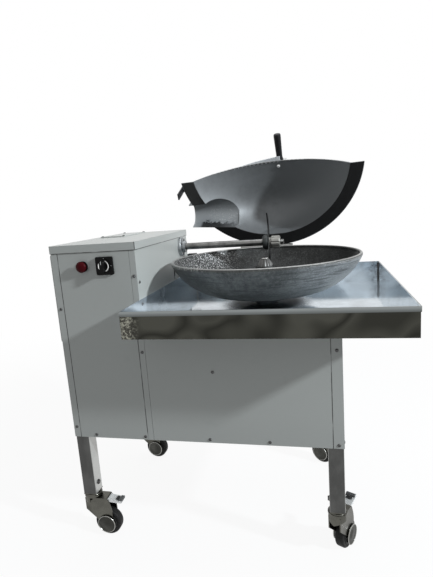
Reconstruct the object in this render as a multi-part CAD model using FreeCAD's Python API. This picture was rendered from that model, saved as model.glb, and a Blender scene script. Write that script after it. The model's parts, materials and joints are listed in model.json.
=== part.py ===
"""Vegetable cutting machine: a turning bowl, a belt driven knife shaft and a lifting half lid.

Every length is in millimetres. While the pieces are drawn, x runs to the right from the left
side of the casing, y runs back from its front face and z runs up from the floor. At the end
all pieces move together, so that the origin lies on the floor under the middle of the machine.
"""

import FreeCAD
import Part
import math
import os
from FreeCAD import Vector

X = Vector(1, 0, 0)
Y = Vector(0, 1, 0)
Z = Vector(0, 0, 1)

# Casing
column_width = 242.0
column_above_rim = 77.5
body_width = 753.0
body_depth = 473.0
panel_bottom = 321.0
sheet = 1.5
seam = 0.8
cover_lip = 21.0
cover_ease = 0.5
left_return = 19.0
corner_return = 16.0
right_return = 27.0
hatch_length = 182.0
hatch_width = 84.0
hatch_from_right = 134.0
hatch_from_back = 41.0
hatch_rise = 3.0
screw_radius = 4.5
screw_rise = 2.2

# Frame tubes
leg_tube = 40.0
rail_tube = 30.0
tube_wall = 2.0
leg_bottom = 137.0

# Tray
tray_overhang_front = 129.0
tray_overhang_right = 150.0
tray_overhang_back = 83.0
tray_below_rim = 142.0
tray_depth = 66.0
hem_height = 12.0
tray_hole_radius = 31.0
tray_collar_height = 14.0

# Bowl
bowl_radius = 275.0
bowl_rim = 795.0
bowl_depth = 110.0
bowl_wall = 5.0
bowl_bend_radius = 180.0
bowl_from_column = 306.0
bowl_from_back = 235.0
hub_foot_radius = 48.0
hub_top_radius = 30.0
hub_height = 74.0
hub_nut_radius = 24.0
hub_nut_height = 22.0
bead = 8.0

# Bowl drive
spindle_radius = 15.0
spindle_end_radius = 9.0
flange_radius = 85.0
flange_thickness = 12.0
flange_boss_radius = 26.0
gearbox_radius = 62.0
gearbox_height = 78.0
gearbox_plate = 12.0
gearbox_foot = 168.0
worm_offset = 50.0
worm_case_radius = 32.0
worm_shaft_radius = 9.0
worm_pulley_pitch = 75.0

# Knife drive
shaft_radius = 11.0
shaft_behind_bowl = 158.0
shaft_above_rim = 24.0
knife_pulley_pitch = 37.5
knife_belt_x = 160.0
bowl_belt_x = 186.0
bearing_x = 82.0
bearing_centre_height = 36.5
bearing_width = 30.0
bearing_ring_radius = 33.0
bearing_foot_length = 128.0
bearing_foot_height = 13.0
wall_flange_radius = 31.0
wall_flange_thickness = 10.0
wall_boss_radius = 20.0
wall_boss_length = 10.0
shaft_left_end = 54.0
collar_radius = 17.0
collar_length = 17.0

# Knives
blade_reach = 96.0
blade_eye_radius = 18.0
blade_bore_radius = 10.0
blade_thickness = 3.0
blade_camber = 26.0
knife_nut_radius = 20.0
knife_nut_length = 30.0
knife_thread_radius = 8.0
shaft_tip_length = 11.0

# Motor
motor_from_back = 223.0
motor_radius = 78.0
motor_length = 210.0
motor_axis_height = 90.0
motor_gap_to_column = 8.0
motor_shaft_radius = 12.0
motor_plate_thickness = 8.0
motor_knife_pitch = 40.0
motor_bowl_pitch = 30.0

# Belts and pulleys
belt_width = 13.0
belt_depth = 8.0
groove_flare = 4.0
pulley_width = 20.0
pulley_lip = 5.0

# Lid
lid_gap = 4.0
lid_rim_overhang = 29.0
lid_seal_width = 42.0
lid_seal_thickness = 4.0
lid_sheet = 2.0
lid_height = 123.0
lid_front_from_axis = 36.0
lid_front_droop = 11.0
lid_skew = 2.0
knife_room = 11.0
lid_open_angle = 67.0
hood_height = 62.0
hood_spring = 22.0
hood_front_room = 26.0
hood_back_room = 56.0
hood_flare = 12.0
hood_left_gap = 16.0
hood_length = 165.0
hinge_drop = 9.0
hinge_from_axis = -30.0
hinge_span = 170.0
hinge_pin_radius = 5.0
knuckle_radius = 8.0
hinge_ear = 6.0
leaf_thickness = 4.0
beam_tube = 25.0
beam_wall = 2.5
beam_foot = 44.0
beam_foot_thickness = 6.0
sleeve_length = 30.0
sleeve_wall = 2.5
handle_radius = 12.5
handle_length = 92.0
handle_from_axis = 29.0
handle_set_back = 6.0
handle_bar_length = 140.0
handle_bar_rise = 32.0
handle_bar_thickness = 4.0
tab_from_front_edge = 24.0
tab_width = 20.0
tab_thickness = 4.0
tab_drop = 66.0

# Controls
controls_below_top = 58.5
stop_x = 92.0
stop_head_radius = 15.0
stop_barrel_radius = 11.0
stop_stem_radius = 8.0
stop_travel = 4.0
switch_x = 156.0
switch_plate_side = 48.0
knob_radius = 17.0
knob_grip_width = 11.0
knob_grip_depth = 14.0

# Casters
wheel_radius = 40.0
wheel_width = 26.0
hub_radius = 28.0
caster_trail = 42.0
king_pin_radius = 6.0
axle_radius = 4.0
fork_plate = 3.0
fork_gap = 1.5
raceway_radius = 24.0
pedal_length = 42.0
caster_turns = {"front_left": 0.0, "front_right": 63.0, "rear_left": -6.0, "rear_right": 150.0}
pedal_tilts = {"front_left": -12.0, "front_right": 11.0}

# Clearances
running = 0.05
slack = 0.3

# Places worked out from the sizes above
column_top = bowl_rim + column_above_rim
tray_floor = bowl_rim - tray_below_rim
control_height = column_top - controls_below_top
shaft_height = bowl_rim + shaft_above_rim
inner_face = sheet
column_post_x = column_width - sheet - rail_tube
hatch_right = column_width - hatch_from_right
hatch_back = body_depth - hatch_from_back
rear_inside = body_depth - sheet
right_inside = body_width - sheet
right_post_x = right_inside - leg_tube
cabinet_top = tray_floor - sheet
column_inside_top = column_top - sheet
lower_rail_z = panel_bottom + sheet
lower_rail_top = lower_rail_z + rail_tube
upper_rail_z = cabinet_top - rail_tube
tray_right = body_width + tray_overhang_right
tray_front = -tray_overhang_front
tray_back = body_depth + tray_overhang_back
tray_rim = tray_floor - sheet + tray_depth + sheet
bowl_x = column_width + bowl_from_column
bowl_y = body_depth - bowl_from_back
bowl_bottom = bowl_rim - bowl_depth
shaft_from_front = bowl_y + shaft_behind_bowl
motor_from_front = body_depth - motor_from_back
knife_x = bowl_x - blade_thickness
motor_z = lower_rail_top + motor_plate_thickness + motor_axis_height
motor_x = column_width + motor_gap_to_column
worm_y = bowl_y - worm_offset
gearbox_top = upper_rail_z
worm_z = gearbox_top - gearbox_plate - gearbox_height / 2.0
bearing_rail_top = shaft_height - bearing_centre_height
worm_rail_top = worm_z - bearing_centre_height
worm_bearing_x = column_post_x + rail_tube / 2.0
lid_base = bowl_rim + lid_gap
lid_radius = bowl_radius + lid_rim_overhang
lid_dome_radius = lid_radius - lid_seal_width + lid_seal_thickness
lid_front = bowl_y + lid_front_from_axis
lid_plate = lid_base + lid_seal_thickness
hinge_y = bowl_y + lid_radius
hinge_z = lid_base - hinge_drop
hinge_x = bowl_x + hinge_from_axis
beam_z = hinge_z - knuckle_radius - 2.0 - leaf_thickness - beam_tube
beam_y = hinge_y - beam_tube / 2.0

pieces = {}


def add(name, shapes):
    """Keep a piece, or a group of like pieces, under its name."""
    group = shapes if isinstance(shapes, list) else [shapes]
    solids = [solid for shape in group for solid in shape.Solids]
    pieces[name] = solids[0] if len(solids) == 1 else Part.makeCompound(solids)


def block(x0, x1, y0, y1, z0, z1):
    """A box between two x, two y and two z values."""
    return Part.makeBox(x1 - x0, y1 - y0, z1 - z0, Vector(x0, y0, z0))


def rod(start, radius, length, direction=X):
    """A round bar."""
    return Part.makeCylinder(radius, length, start, direction)


def tube(start, outer, inner, length, direction=X):
    """A round bar with a hole along its axis."""
    return rod(start, outer, length, direction).cut(rod(start, inner, length, direction))


def slab(face, depth):
    """Push a flat face out along a vector."""
    return face.extrude(depth)


def arc(a, b, c):
    """The edge of an arc through three points."""
    return Part.Arc(a, b, c).toShape()


def line(a, b):
    """The edge of a straight line."""
    return Part.LineSegment(a, b).toShape()


def plate(edges):
    """The face inside a closed chain of edges."""
    return Part.Face(Part.Wire(edges))


def polygon(points):
    """The face inside a closed chain of points."""
    return Part.Face(Part.makePolygon(points + [points[0]]))


def joined(shapes):
    """Weld shapes into one solid."""
    first = shapes[0]
    return first.fuse(shapes[1:]).removeSplitter()


def square_tube(x0, x1, y0, y1, z0, z1, along, wall=tube_wall):
    """A square tube, hollow along one axis, with softened long edges."""
    outer = block(x0, x1, y0, y1, z0, z1)
    run = {"x": X, "y": Y, "z": Z}[along]
    long_edges = [e for e in outer.Edges if abs(abs(e.tangentAt(e.FirstParameter).dot(run)) - 1) < 1e-6]
    outer = outer.makeFillet(wall, long_edges)
    if along == "x":
        hollow = block(x0, x1, y0 + wall, y1 - wall, z0 + wall, z1 - wall)
    elif along == "y":
        hollow = block(x0 + wall, x1 - wall, y0, y1, z0 + wall, z1 - wall)
    else:
        hollow = block(x0 + wall, x1 - wall, y0 + wall, y1 - wall, z0, z1)
    return outer.cut(hollow)


def frame():
    """Legs, and the rails of the column and the cabinet."""
    posts = []
    for x0, top in ((inner_face, column_inside_top), (right_post_x, cabinet_top)):
        for y0 in (inner_face, rear_inside - leg_tube):
            posts.append(square_tube(x0, x0 + leg_tube, y0, y0 + leg_tube, leg_bottom, top, "z"))
    add("leg_posts", posts)

    front_y = inner_face
    back_y = rear_inside - rail_tube
    left_end = inner_face + leg_tube
    lower = []
    for y0 in (front_y, back_y):
        lower.append(square_tube(left_end, right_post_x, y0, y0 + rail_tube,
                                 lower_rail_z, lower_rail_top, "x"))
    cross_front = front_y + rail_tube
    motor_rails = (motor_x + 20.0, motor_x + motor_length - 60.0)
    for x0 in (column_post_x, motor_rails[0], motor_rails[1]):
        lower.append(square_tube(x0, x0 + rail_tube, cross_front, back_y,
                                 lower_rail_z, lower_rail_top, "y"))
    for x0 in (inner_face, right_inside - rail_tube):
        lower.append(square_tube(x0, x0 + rail_tube, inner_face + leg_tube, rear_inside - leg_tube,
                                 lower_rail_z, lower_rail_top, "y"))

    upper = []
    for y0 in (front_y, back_y):
        upper.append(square_tube(column_width, right_post_x, y0, y0 + rail_tube,
                                 upper_rail_z, cabinet_top, "x"))
    upper.append(square_tube(right_inside - rail_tube, right_inside, inner_face + leg_tube,
                             rear_inside - leg_tube, upper_rail_z, cabinet_top, "y"))
    rail_gap = gearbox_foot / 2.0 - rail_tube / 2.0
    for side in (-1, 1):
        x0 = bowl_x + side * rail_gap - rail_tube / 2.0
        upper.append(square_tube(x0, x0 + rail_tube, cross_front, back_y,
                                 upper_rail_z, cabinet_top, "y"))
    add("cabinet_rails", lower + upper)

    column = []
    for y0 in (front_y, back_y):
        column.append(square_tube(column_post_x, column_post_x + rail_tube, y0, y0 + rail_tube,
                                  lower_rail_top, column_inside_top, "z"))
        for z1 in (column_inside_top, bearing_rail_top):
            column.append(square_tube(left_end, column_post_x, y0, y0 + rail_tube,
                                      z1 - rail_tube, z1, "x"))
    column.append(square_tube(inner_face, inner_face + rail_tube, inner_face + leg_tube,
                              rear_inside - leg_tube, column_inside_top - rail_tube,
                              column_inside_top, "y"))
    column.append(square_tube(column_post_x, column_post_x + rail_tube, cross_front, back_y,
                              column_inside_top - rail_tube, column_inside_top, "y"))
    column.append(square_tube(column_post_x, column_post_x + rail_tube, cross_front, back_y,
                              worm_rail_top - rail_tube, worm_rail_top, "y"))
    column.append(square_tube(bearing_x - leg_tube / 2.0, bearing_x + leg_tube / 2.0, cross_front,
                              back_y, bearing_rail_top - rail_tube, bearing_rail_top, "y"))
    column.append(backing_plate())
    add("column_rails", column)


def backing_plate():
    """The plate behind the column wall that carries the wall bearing."""
    plate_x = column_width - sheet - 8.0
    plate_front = shaft_from_front - 60.0
    backing = block(plate_x, column_width - sheet, plate_front, rear_inside - rail_tube,
                    shaft_height - 45.0, column_inside_top - rail_tube)
    hole = Vector(plate_x - 1, shaft_from_front, shaft_height)
    return backing.cut(rod(hole, shaft_radius + 4.0, 10.0))


def casing():
    """Sheet metal panels, the top cover and the two covers that open for service."""
    left_top = column_top - cover_lip - cover_ease
    window = 44.0
    left = block(0, sheet, 0, body_depth, panel_bottom, left_top)
    for y0 in (0, body_depth - sheet):
        left = left.fuse(block(0, left_return, y0, y0 + sheet, panel_bottom, left_top))
    side_cover_bottom = 603.0
    left = left.cut(block(-1, sheet + 1, window, body_depth - window,
                          side_cover_bottom + window, left_top - window / 2.0))
    add("left_panel", left.removeSplitter())

    lip_room = 6.0
    cover = block(-lip_room, 0, lip_room, body_depth - lip_room, side_cover_bottom, left_top - lip_room / 2.0)
    corner_edges = [e for e in cover.Edges if abs(e.tangentAt(e.FirstParameter).x) > 0.99]
    cover = cover.makeFillet(lip_room, corner_edges)
    cover = cover.cut(block(-lip_room + sheet, 1, 2 * lip_room, body_depth - 2 * lip_room,
                            side_cover_bottom + lip_room, left_top - 1.5 * lip_room))
    add("side_cover", cover)

    front_left = left_return + seam
    front_right = column_width - corner_return - seam
    front = block(front_left, front_right, 0, sheet, panel_bottom, left_top)
    front = front.cut(rod(Vector(stop_x, -1, control_height), stop_barrel_radius + slack, sheet + 2, Y))
    front = front.cut(rod(Vector(switch_x, -1, control_height), stop_barrel_radius + slack, sheet + 2, Y))
    add("column_front_panel", front)
    column_rear = block(front_left, front_right, rear_inside, body_depth, panel_bottom, left_top)

    right = block(column_width - sheet, column_width, inner_face, rear_inside, lower_rail_top + seam, left_top)
    for y0 in (0, rear_inside):
        right = right.fuse(block(column_width - corner_return, column_width, y0, y0 + sheet,
                                 panel_bottom, left_top))
    right = right.cut(block(column_width - 2 * sheet, column_width + 1, window, body_depth - window,
                            lower_rail_top + 10.0, upper_rail_z - 10.0))
    for y0 in (inner_face, rear_inside - rail_tube):
        right = right.cut(block(column_width - 2 * sheet, column_width + 1, y0 + 5.0,
                                y0 + rail_tube - 5.0, upper_rail_z + 5.0, cabinet_top - 5.0))
    shaft_hole = Vector(column_width - 2 * sheet, shaft_from_front, shaft_height)
    right = right.cut(rod(shaft_hole, shaft_radius + 4.0, 3 * sheet))
    slot_y = lid_front + tab_from_front_edge + tab_width / 2.0
    slot_half = 4.0
    right = right.cut(block(column_width - 2 * sheet, column_width + 1, slot_y - slot_half,
                            slot_y + slot_half, tray_rim, tray_rim + 53.0))
    add("column_right_panel", right.removeSplitter())

    cabinet_panel_top = cabinet_top - cover_ease
    cabinet_left = column_width + seam
    cabinet_right = body_width - right_return - seam
    add("cabinet_front_panel", block(cabinet_left, cabinet_right, 0, sheet, panel_bottom, cabinet_panel_top))
    add("rear_panels", [column_rear, block(cabinet_left, cabinet_right, rear_inside, body_depth,
                                           panel_bottom, cabinet_panel_top)])
    side = block(right_inside, body_width, 0, body_depth, panel_bottom, cabinet_panel_top)
    for y0 in (0, rear_inside):
        side = side.fuse(block(body_width - right_return, body_width, y0, y0 + sheet,
                               panel_bottom, cabinet_panel_top))
    add("cabinet_right_panel", side.removeSplitter())

    bottom = block(inner_face, right_inside, inner_face, rear_inside, panel_bottom, lower_rail_z)
    for x0 in (inner_face, right_post_x):
        for y0 in (inner_face, rear_inside - leg_tube):
            bottom = bottom.cut(block(x0, x0 + leg_tube, y0, y0 + leg_tube, panel_bottom - 1, lower_rail_z + 1))
    add("bottom_panel", bottom)

    reach = cover_ease + sheet
    cover = block(-reach, column_width + reach, -reach, body_depth + reach,
                  column_top - cover_lip, column_top)
    upright = [e for e in cover.Edges if abs(e.tangentAt(e.FirstParameter).z) > 0.99]
    cover = cover.makeFillet(reach, upright)
    cover = cover.cut(block(-cover_ease, column_width + cover_ease, -cover_ease, body_depth + cover_ease,
                            column_top - cover_lip - 1, column_inside_top))
    add("top_cover", cover)
    hatch = block(hatch_right - hatch_width, hatch_right, hatch_back - hatch_length, hatch_back,
                  column_top, column_top + hatch_rise)
    upright = [e for e in hatch.Edges if abs(e.tangentAt(e.FirstParameter).z) > 0.99]
    add("top_hatch", hatch.makeFillet(4.0, upright))


def screw_head(place, direction):
    """A low domed screw head standing on a sheet."""
    low = rod(place, screw_radius, screw_rise / 2.0, direction)
    cap = Part.makeCone(screw_radius, screw_radius / 2.0, screw_rise / 2.0,
                        place + direction * (screw_rise / 2.0), direction)
    return low.fuse(cap).removeSplitter()


def panel_screws():
    """The screws of the panels, each standing on its own sheet."""
    edge = 9.0
    row_z = panel_bottom + edge
    strip_x = left_return / 2.0
    corner_x = column_width - corner_return / 2.0
    right_x = body_width - right_return / 2.0
    upper_z = column_top - 89.5
    step = (body_width - column_width - right_return) / 3.0
    front = [(strip_x, row_z + 22.0), (strip_x, cabinet_top + 47.5), (left_return + 50.0, row_z),
             (column_width - 24.0, row_z), (corner_x, upper_z), (corner_x, cabinet_top - 75.5),
             (right_x, row_z), (right_x, cabinet_top - 70.0)]
    for count in (1, 2):
        front.append((column_width + count * step, row_z))
        front.append((column_width + count * step, cabinet_top - 3 * edge))
    heads = [screw_head(Vector(x, 0, z), -Y) for x, z in front]
    back = [(strip_x, row_z), (corner_x, row_z), (corner_x, upper_z), (strip_x, upper_z), (right_x, row_z)]
    for count in (1, 2):
        back.append((column_width + count * step, row_z))
        back.append((column_width + count * step, cabinet_top - 3 * edge))
    heads += [screw_head(Vector(x, body_depth, z), Y) for x, z in back]
    for z in (upper_z - 18.0, cabinet_top + tray_depth - 12.0):
        heads.append(screw_head(Vector(column_width + (sheet if z < tray_rim else 0), 14.0, z), X))
    for y in (2 * edge, body_depth - 2 * edge):
        heads.append(screw_head(Vector(body_width, y, row_z), X))
        heads.append(screw_head(Vector(0, y, row_z), -X))
    inset = 6.0
    for x in (hatch_right - hatch_width + inset, hatch_right - inset):
        for y in (hatch_back - hatch_length + inset, hatch_back - inset):
            heads.append(screw_head(Vector(x, y, column_top + hatch_rise), Z))
    add("panel_screws", heads)


def tray():
    """The folded stainless tray with its hems and the raised collar round the spindle."""
    outside = block(column_width, tray_right, tray_front, tray_back, cabinet_top, tray_rim)
    inside = block(column_width + sheet, tray_right - sheet, tray_front + sheet, tray_back - sheet,
                   tray_floor, tray_rim + 1)
    pan = outside.cut(inside)
    hem_z = tray_rim - hem_height
    hems = [block(column_width, tray_right + sheet, tray_front - sheet, tray_front, hem_z, tray_rim),
            block(tray_right, tray_right + sheet, tray_front, tray_back + sheet, hem_z, tray_rim),
            block(column_width, tray_right, tray_back, tray_back + sheet, hem_z, tray_rim)]
    collar_foot = Vector(bowl_x, bowl_y, tray_floor)
    collar = rod(collar_foot, tray_hole_radius + sheet, tray_collar_height, Z)
    pan = joined([pan] + hems + [collar])
    hole = rod(Vector(bowl_x, bowl_y, cabinet_top - 1), tray_hole_radius, tray_collar_height + 3 * sheet, Z)
    add("tray", pan.cut(hole))


def spun(points_and_arcs, axis_point):
    """Turn a closed outline in the x and z plane round the vertical axis through a point."""
    return plate(points_and_arcs).revolve(axis_point, Z, 360)


def bowl():
    """The round pan: flat floor, one large bend up to the beaded rim, and a cone hub."""
    def at(radius, height):
        return Vector(bowl_x + radius, bowl_y, height)

    def bend(radius, share):
        """A point of the large bend, measured by the share of its sweep."""
        reach = math.asin((bowl_radius - floor_radius) / bowl_bend_radius)
        angle = reach * share
        return at(floor_radius + radius * math.sin(angle), bend_z - radius * math.cos(angle))

    bend_z = bowl_bottom + bowl_bend_radius
    floor_radius = bowl_radius - math.sqrt(bowl_bend_radius ** 2 - (bend_z - bowl_rim + bead) ** 2)
    inner = bowl_bend_radius - bowl_wall
    inside_floor = bowl_bottom + bowl_wall
    hub_top = inside_floor + hub_height
    rim_inner = bend(inner, 1.0)
    rim_outer = bend(bowl_bend_radius, 1.0)
    outline = [
        line(at(spindle_radius, bowl_bottom), at(floor_radius, bowl_bottom)),
        arc(at(floor_radius, bowl_bottom), bend(bowl_bend_radius, 0.5), rim_outer),
        line(rim_outer, at(bowl_radius, bowl_rim - bead / 2.0)),
        arc(at(bowl_radius, bowl_rim - bead / 2.0), at(bowl_radius - bead / 2.0, bowl_rim),
            at(bowl_radius - bead, bowl_rim - bead / 2.0)),
        line(at(bowl_radius - bead, bowl_rim - bead / 2.0), rim_inner),
        arc(rim_inner, bend(inner, 0.5), at(floor_radius, inside_floor)),
        line(at(floor_radius, inside_floor), at(hub_foot_radius + 14.0, inside_floor)),
        arc(at(hub_foot_radius + 14.0, inside_floor), at(hub_foot_radius, inside_floor + 6.0),
            at(hub_foot_radius - 6.0, inside_floor + 20.0)),
        line(at(hub_foot_radius - 6.0, inside_floor + 20.0), at(hub_top_radius, hub_top)),
        line(at(hub_top_radius, hub_top), at(spindle_radius, hub_top)),
        line(at(spindle_radius, hub_top), at(spindle_radius, bowl_bottom)),
    ]
    add("bowl", spun(outline, Vector(bowl_x, bowl_y, 0)))
    return hub_top


def bowl_drive(hub_top):
    """The spindle, its flange, the hub nut, the gearbox and its input shaft."""
    centre = Vector(bowl_x, bowl_y, 0)
    bore_floor = gearbox_top - gearbox_plate - gearbox_height + 10.0
    spindle = rod(centre + Z * bore_floor, spindle_radius, hub_top - bore_floor, Z)
    tip = rod(centre + Z * hub_top, spindle_end_radius, hub_nut_height + 4.0, Z)

    disc_z = bowl_bottom - flange_thickness
    boss_z = tray_floor + 5.0
    disc = rod(centre + Z * disc_z, flange_radius, flange_thickness, Z)
    boss = rod(centre + Z * boss_z, flange_boss_radius, disc_z - boss_z, Z)
    add("bowl_spindle", joined([spindle, tip, disc, boss]))

    nut = Part.makeCone(hub_nut_radius, hub_nut_radius * 0.7, hub_nut_height, centre + Z * hub_top, Z)
    ribs = 10
    for count in range(ribs):
        turn = math.radians(count * 360.0 / ribs)
        flute_at = centre + Vector(math.cos(turn), math.sin(turn), 0) * (hub_nut_radius + 1.0)
        nut = nut.cut(rod(flute_at + Z * (hub_top - 1), 4.0, hub_nut_height + 2, Z))
    add("hub_nut", nut.cut(rod(centre + Z * hub_top, spindle_end_radius, hub_nut_height, Z)))

    low = gearbox_top - gearbox_plate - gearbox_height
    half = gearbox_foot / 2.0
    foot = block(bowl_x - half, bowl_x + half, bowl_y - half, bowl_y + half,
                 gearbox_top - gearbox_plate, gearbox_top)
    upright = [e for e in foot.Edges if abs(e.tangentAt(e.FirstParameter).z) > 0.99]
    foot = foot.makeFillet(14.0, upright)
    drum = rod(centre + Z * low, gearbox_radius, gearbox_height, Z)
    case_length = 2 * gearbox_radius + 24.0
    case_x = bowl_x - case_length / 2.0
    case = rod(Vector(case_x, worm_y, worm_z), worm_case_radius, case_length)
    neck = rod(centre + Z * gearbox_top, spindle_radius + 9.0, rail_tube - 6.0, Z)
    housing = joined([foot, drum, case, neck])
    housing = housing.cut(rod(centre + Z * (bore_floor - slack), spindle_radius + running, 2 * gearbox_height, Z))
    shaft_depth = case_length - 12.0
    housing = housing.cut(rod(Vector(case_x - 1, worm_y, worm_z), worm_shaft_radius + running, shaft_depth + 1))
    add("gearbox_housing", housing)

    left = bowl_belt_x - pulley_width / 2.0
    right = case_x + shaft_depth - slack
    shaft = rod(Vector(left, worm_y, worm_z), worm_shaft_radius, right - left)
    wheel = pulley(bowl_belt_x, worm_y, worm_z, worm_pulley_pitch, worm_shaft_radius)
    add("worm_shaft", joined([shaft, wheel]))


def groove_floor(pitch):
    """The radius of the bottom of a pulley groove."""
    return pitch - belt_depth


def pulley(centre_x, y, z, pitch, bore, lighten=True):
    """A grooved wheel on an x shaft, with round windows in its web when it is large."""
    half = pulley_width / 2.0
    outer = pitch + pulley_lip
    floor = groove_floor(pitch)
    mouth = belt_width / 2.0 + slack
    base = mouth - groove_flare
    points = [Vector(centre_x - half, y, z + bore), Vector(centre_x - half, y, z + outer),
              Vector(centre_x - mouth, y, z + outer), Vector(centre_x - base, y, z + floor),
              Vector(centre_x + base, y, z + floor), Vector(centre_x + mouth, y, z + outer),
              Vector(centre_x + half, y, z + outer), Vector(centre_x + half, y, z + bore)]
    wheel = polygon(points).revolve(Vector(0, y, z), X, 360)
    ring = (floor + bore) / 2.0
    window = (floor - bore) / 3.2
    if lighten and floor > 4 * bore:
        windows = 5
        for count in range(windows):
            turn = math.radians(count * 360.0 / windows)
            at = Vector(centre_x - half - 1, y + ring * math.cos(turn), z + ring * math.sin(turn))
            wheel = wheel.cut(rod(at, window, pulley_width + 2))
    return wheel


def belt(plane_x, first, second):
    """A vee belt round two pulleys, each given as y, z and the pitch radius."""
    (y1, z1, pitch1), (y2, z2, pitch2) = first, second
    outer1, outer2 = pitch1 + pulley_lip - 2.0, pitch2 + pulley_lip - 2.0
    span = math.hypot(y2 - y1, z2 - z1)
    along = math.atan2(z2 - z1, y2 - y1)
    lean = math.asin((outer1 - outer2) / span)

    def on(y, z, radius, angle):
        return Vector(plane_x, y + radius * math.cos(angle), z + radius * math.sin(angle))

    up1 = along + math.pi / 2.0 - lean
    down1 = along - math.pi / 2.0 + lean
    start = on(y1, z1, outer1, up1)
    path = Part.Wire([
        line(start, on(y2, z2, outer2, up1)),
        arc(on(y2, z2, outer2, up1), on(y2, z2, outer2, along), on(y2, z2, outer2, down1)),
        line(on(y2, z2, outer2, down1), on(y1, z1, outer1, down1)),
        arc(on(y1, z1, outer1, down1), on(y1, z1, outer1, along + math.pi), start)])
    inward = Vector(0, -math.cos(up1), -math.sin(up1))
    top_half = belt_width / 2.0 - 0.8
    low_half = top_half - groove_flare * 0.55
    corners = [start - X * top_half, start + X * top_half,
               start + X * low_half + inward * (belt_depth - 2.0),
               start - X * low_half + inward * (belt_depth - 2.0)]
    section = Part.makePolygon(corners + [corners[0]])
    return path.makePipeShell([section], True, False)


def pillow_block(x, y, z, bore, width=bearing_width):
    """A foot mounted bearing: long foot, round cap and inner race."""
    foot_z = z - bearing_centre_height
    foot = block(x - width / 2.0, x + width / 2.0, y - bearing_foot_length / 2.0,
                 y + bearing_foot_length / 2.0, foot_z, foot_z + bearing_foot_height)
    start = Vector(x - width / 2.0, y, z)
    cap = rod(start, bearing_ring_radius, width)
    cap = cap.cut(block(x - width, x + width, y - 2 * bearing_ring_radius, y + 2 * bearing_ring_radius,
                        foot_z - bearing_ring_radius, foot_z))
    body = joined([foot, cap])
    race = rod(start - X * 3.0, bore + 6.0, width + 6.0)
    body = joined([body, race]).cut(rod(start - X * 4.0, bore + running, width + 8.0))
    for side in (-1, 1):
        at = Vector(x, y + side * (bearing_foot_length / 2.0 - 14.0), foot_z - 1)
        body = body.cut(rod(at, 5.5, bearing_foot_height + 2, Z))
    return body


def knife_drive():
    """The knife shaft in its two bearings, with its pulley, knives and nut."""
    def at(x):
        return Vector(x, shaft_from_front, shaft_height)

    shoulder = knife_x - blade_thickness
    thread_start = knife_x + blade_thickness
    nut_end = thread_start + 4.0 + knife_nut_length
    shaft = joined([
        rod(at(shaft_left_end), shaft_radius, shoulder - shaft_left_end),
        rod(at(shoulder - collar_length), collar_radius, collar_length),
        rod(at(shoulder), blade_bore_radius, thread_start - shoulder),
        rod(at(thread_start), knife_thread_radius, nut_end + shaft_tip_length - thread_start)])
    add("knife_shaft", shaft)

    washer = rod(at(thread_start), blade_eye_radius - 2.0, 4.0)
    nut = rod(at(thread_start + 4.0), knife_nut_radius, knife_nut_length)
    nut = nut.makeChamfer(3.0, [e for e in nut.Edges if len(e.Vertexes) == 1])
    grips = 8
    for count in range(grips):
        turn = math.radians(count * 360.0 / grips)
        offset = Vector(0, math.cos(turn), math.sin(turn)) * (knife_nut_radius + 3.0)
        nut = nut.cut(rod(at(thread_start + 3.0) + offset, 5.0, knife_nut_length + 2.0))
    nut = joined([nut, washer])
    add("knife_nut", nut.cut(rod(at(thread_start), knife_thread_radius, knife_nut_length + 4.0)))

    add("knife_pulley", pulley(knife_belt_x, shaft_from_front, shaft_height, knife_pulley_pitch, shaft_radius))
    add("upper_blade", blade(knife_x - blade_thickness, 90.0))
    add("lower_blade", blade(knife_x, 270.0))

    pillow = pillow_block(bearing_x, shaft_from_front, shaft_height, shaft_radius)
    far_pillow = pillow_block(worm_bearing_x, worm_y, worm_z, worm_shaft_radius, rail_tube - 6.0)
    add("pillow_bearings", [pillow, far_pillow])

    wall = at(column_width)
    flange = rod(wall, wall_flange_radius, wall_flange_thickness)
    flange = flange.makeFillet(3.0, [flange.Edges[0] if flange.Edges[0].CenterOfMass.x > wall.x + 1
                                     else flange.Edges[2]])
    boss = rod(wall + X * wall_flange_thickness, wall_boss_radius, wall_boss_length)
    spigot_length = sheet + 6.0
    spigot = rod(wall - X * spigot_length, shaft_radius + 4.0, spigot_length)
    flange = joined([flange, boss, spigot])
    bore = rod(wall - X * (spigot_length + 1), shaft_radius + running,
               spigot_length + wall_flange_thickness + wall_boss_length + 2)
    add("wall_bearing", flange.cut(bore))


def blade(x0, turn):
    """A sickle shaped knife in a plane across the shaft, with a round eye on the shaft."""
    def at(along, across):
        return Vector(x0, shaft_from_front + across, shaft_height + along)

    tip = at(blade_reach * 0.985, -blade_reach * 0.17)
    edge = arc(at(0, blade_eye_radius), at(blade_reach * 0.62, blade_camber), tip)
    back = arc(tip, at(blade_reach * 0.55, -1.0), at(0, -blade_eye_radius))
    eye = arc(at(0, -blade_eye_radius), at(-blade_eye_radius, 0), at(0, blade_eye_radius))
    body = slab(plate([edge, back, eye]), X * blade_thickness)
    middle = Vector(x0, shaft_from_front, shaft_height)
    body = body.cut(rod(middle - X, blade_bore_radius, blade_thickness + 2))
    body.rotate(middle, X, turn - 90.0)
    return body


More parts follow.
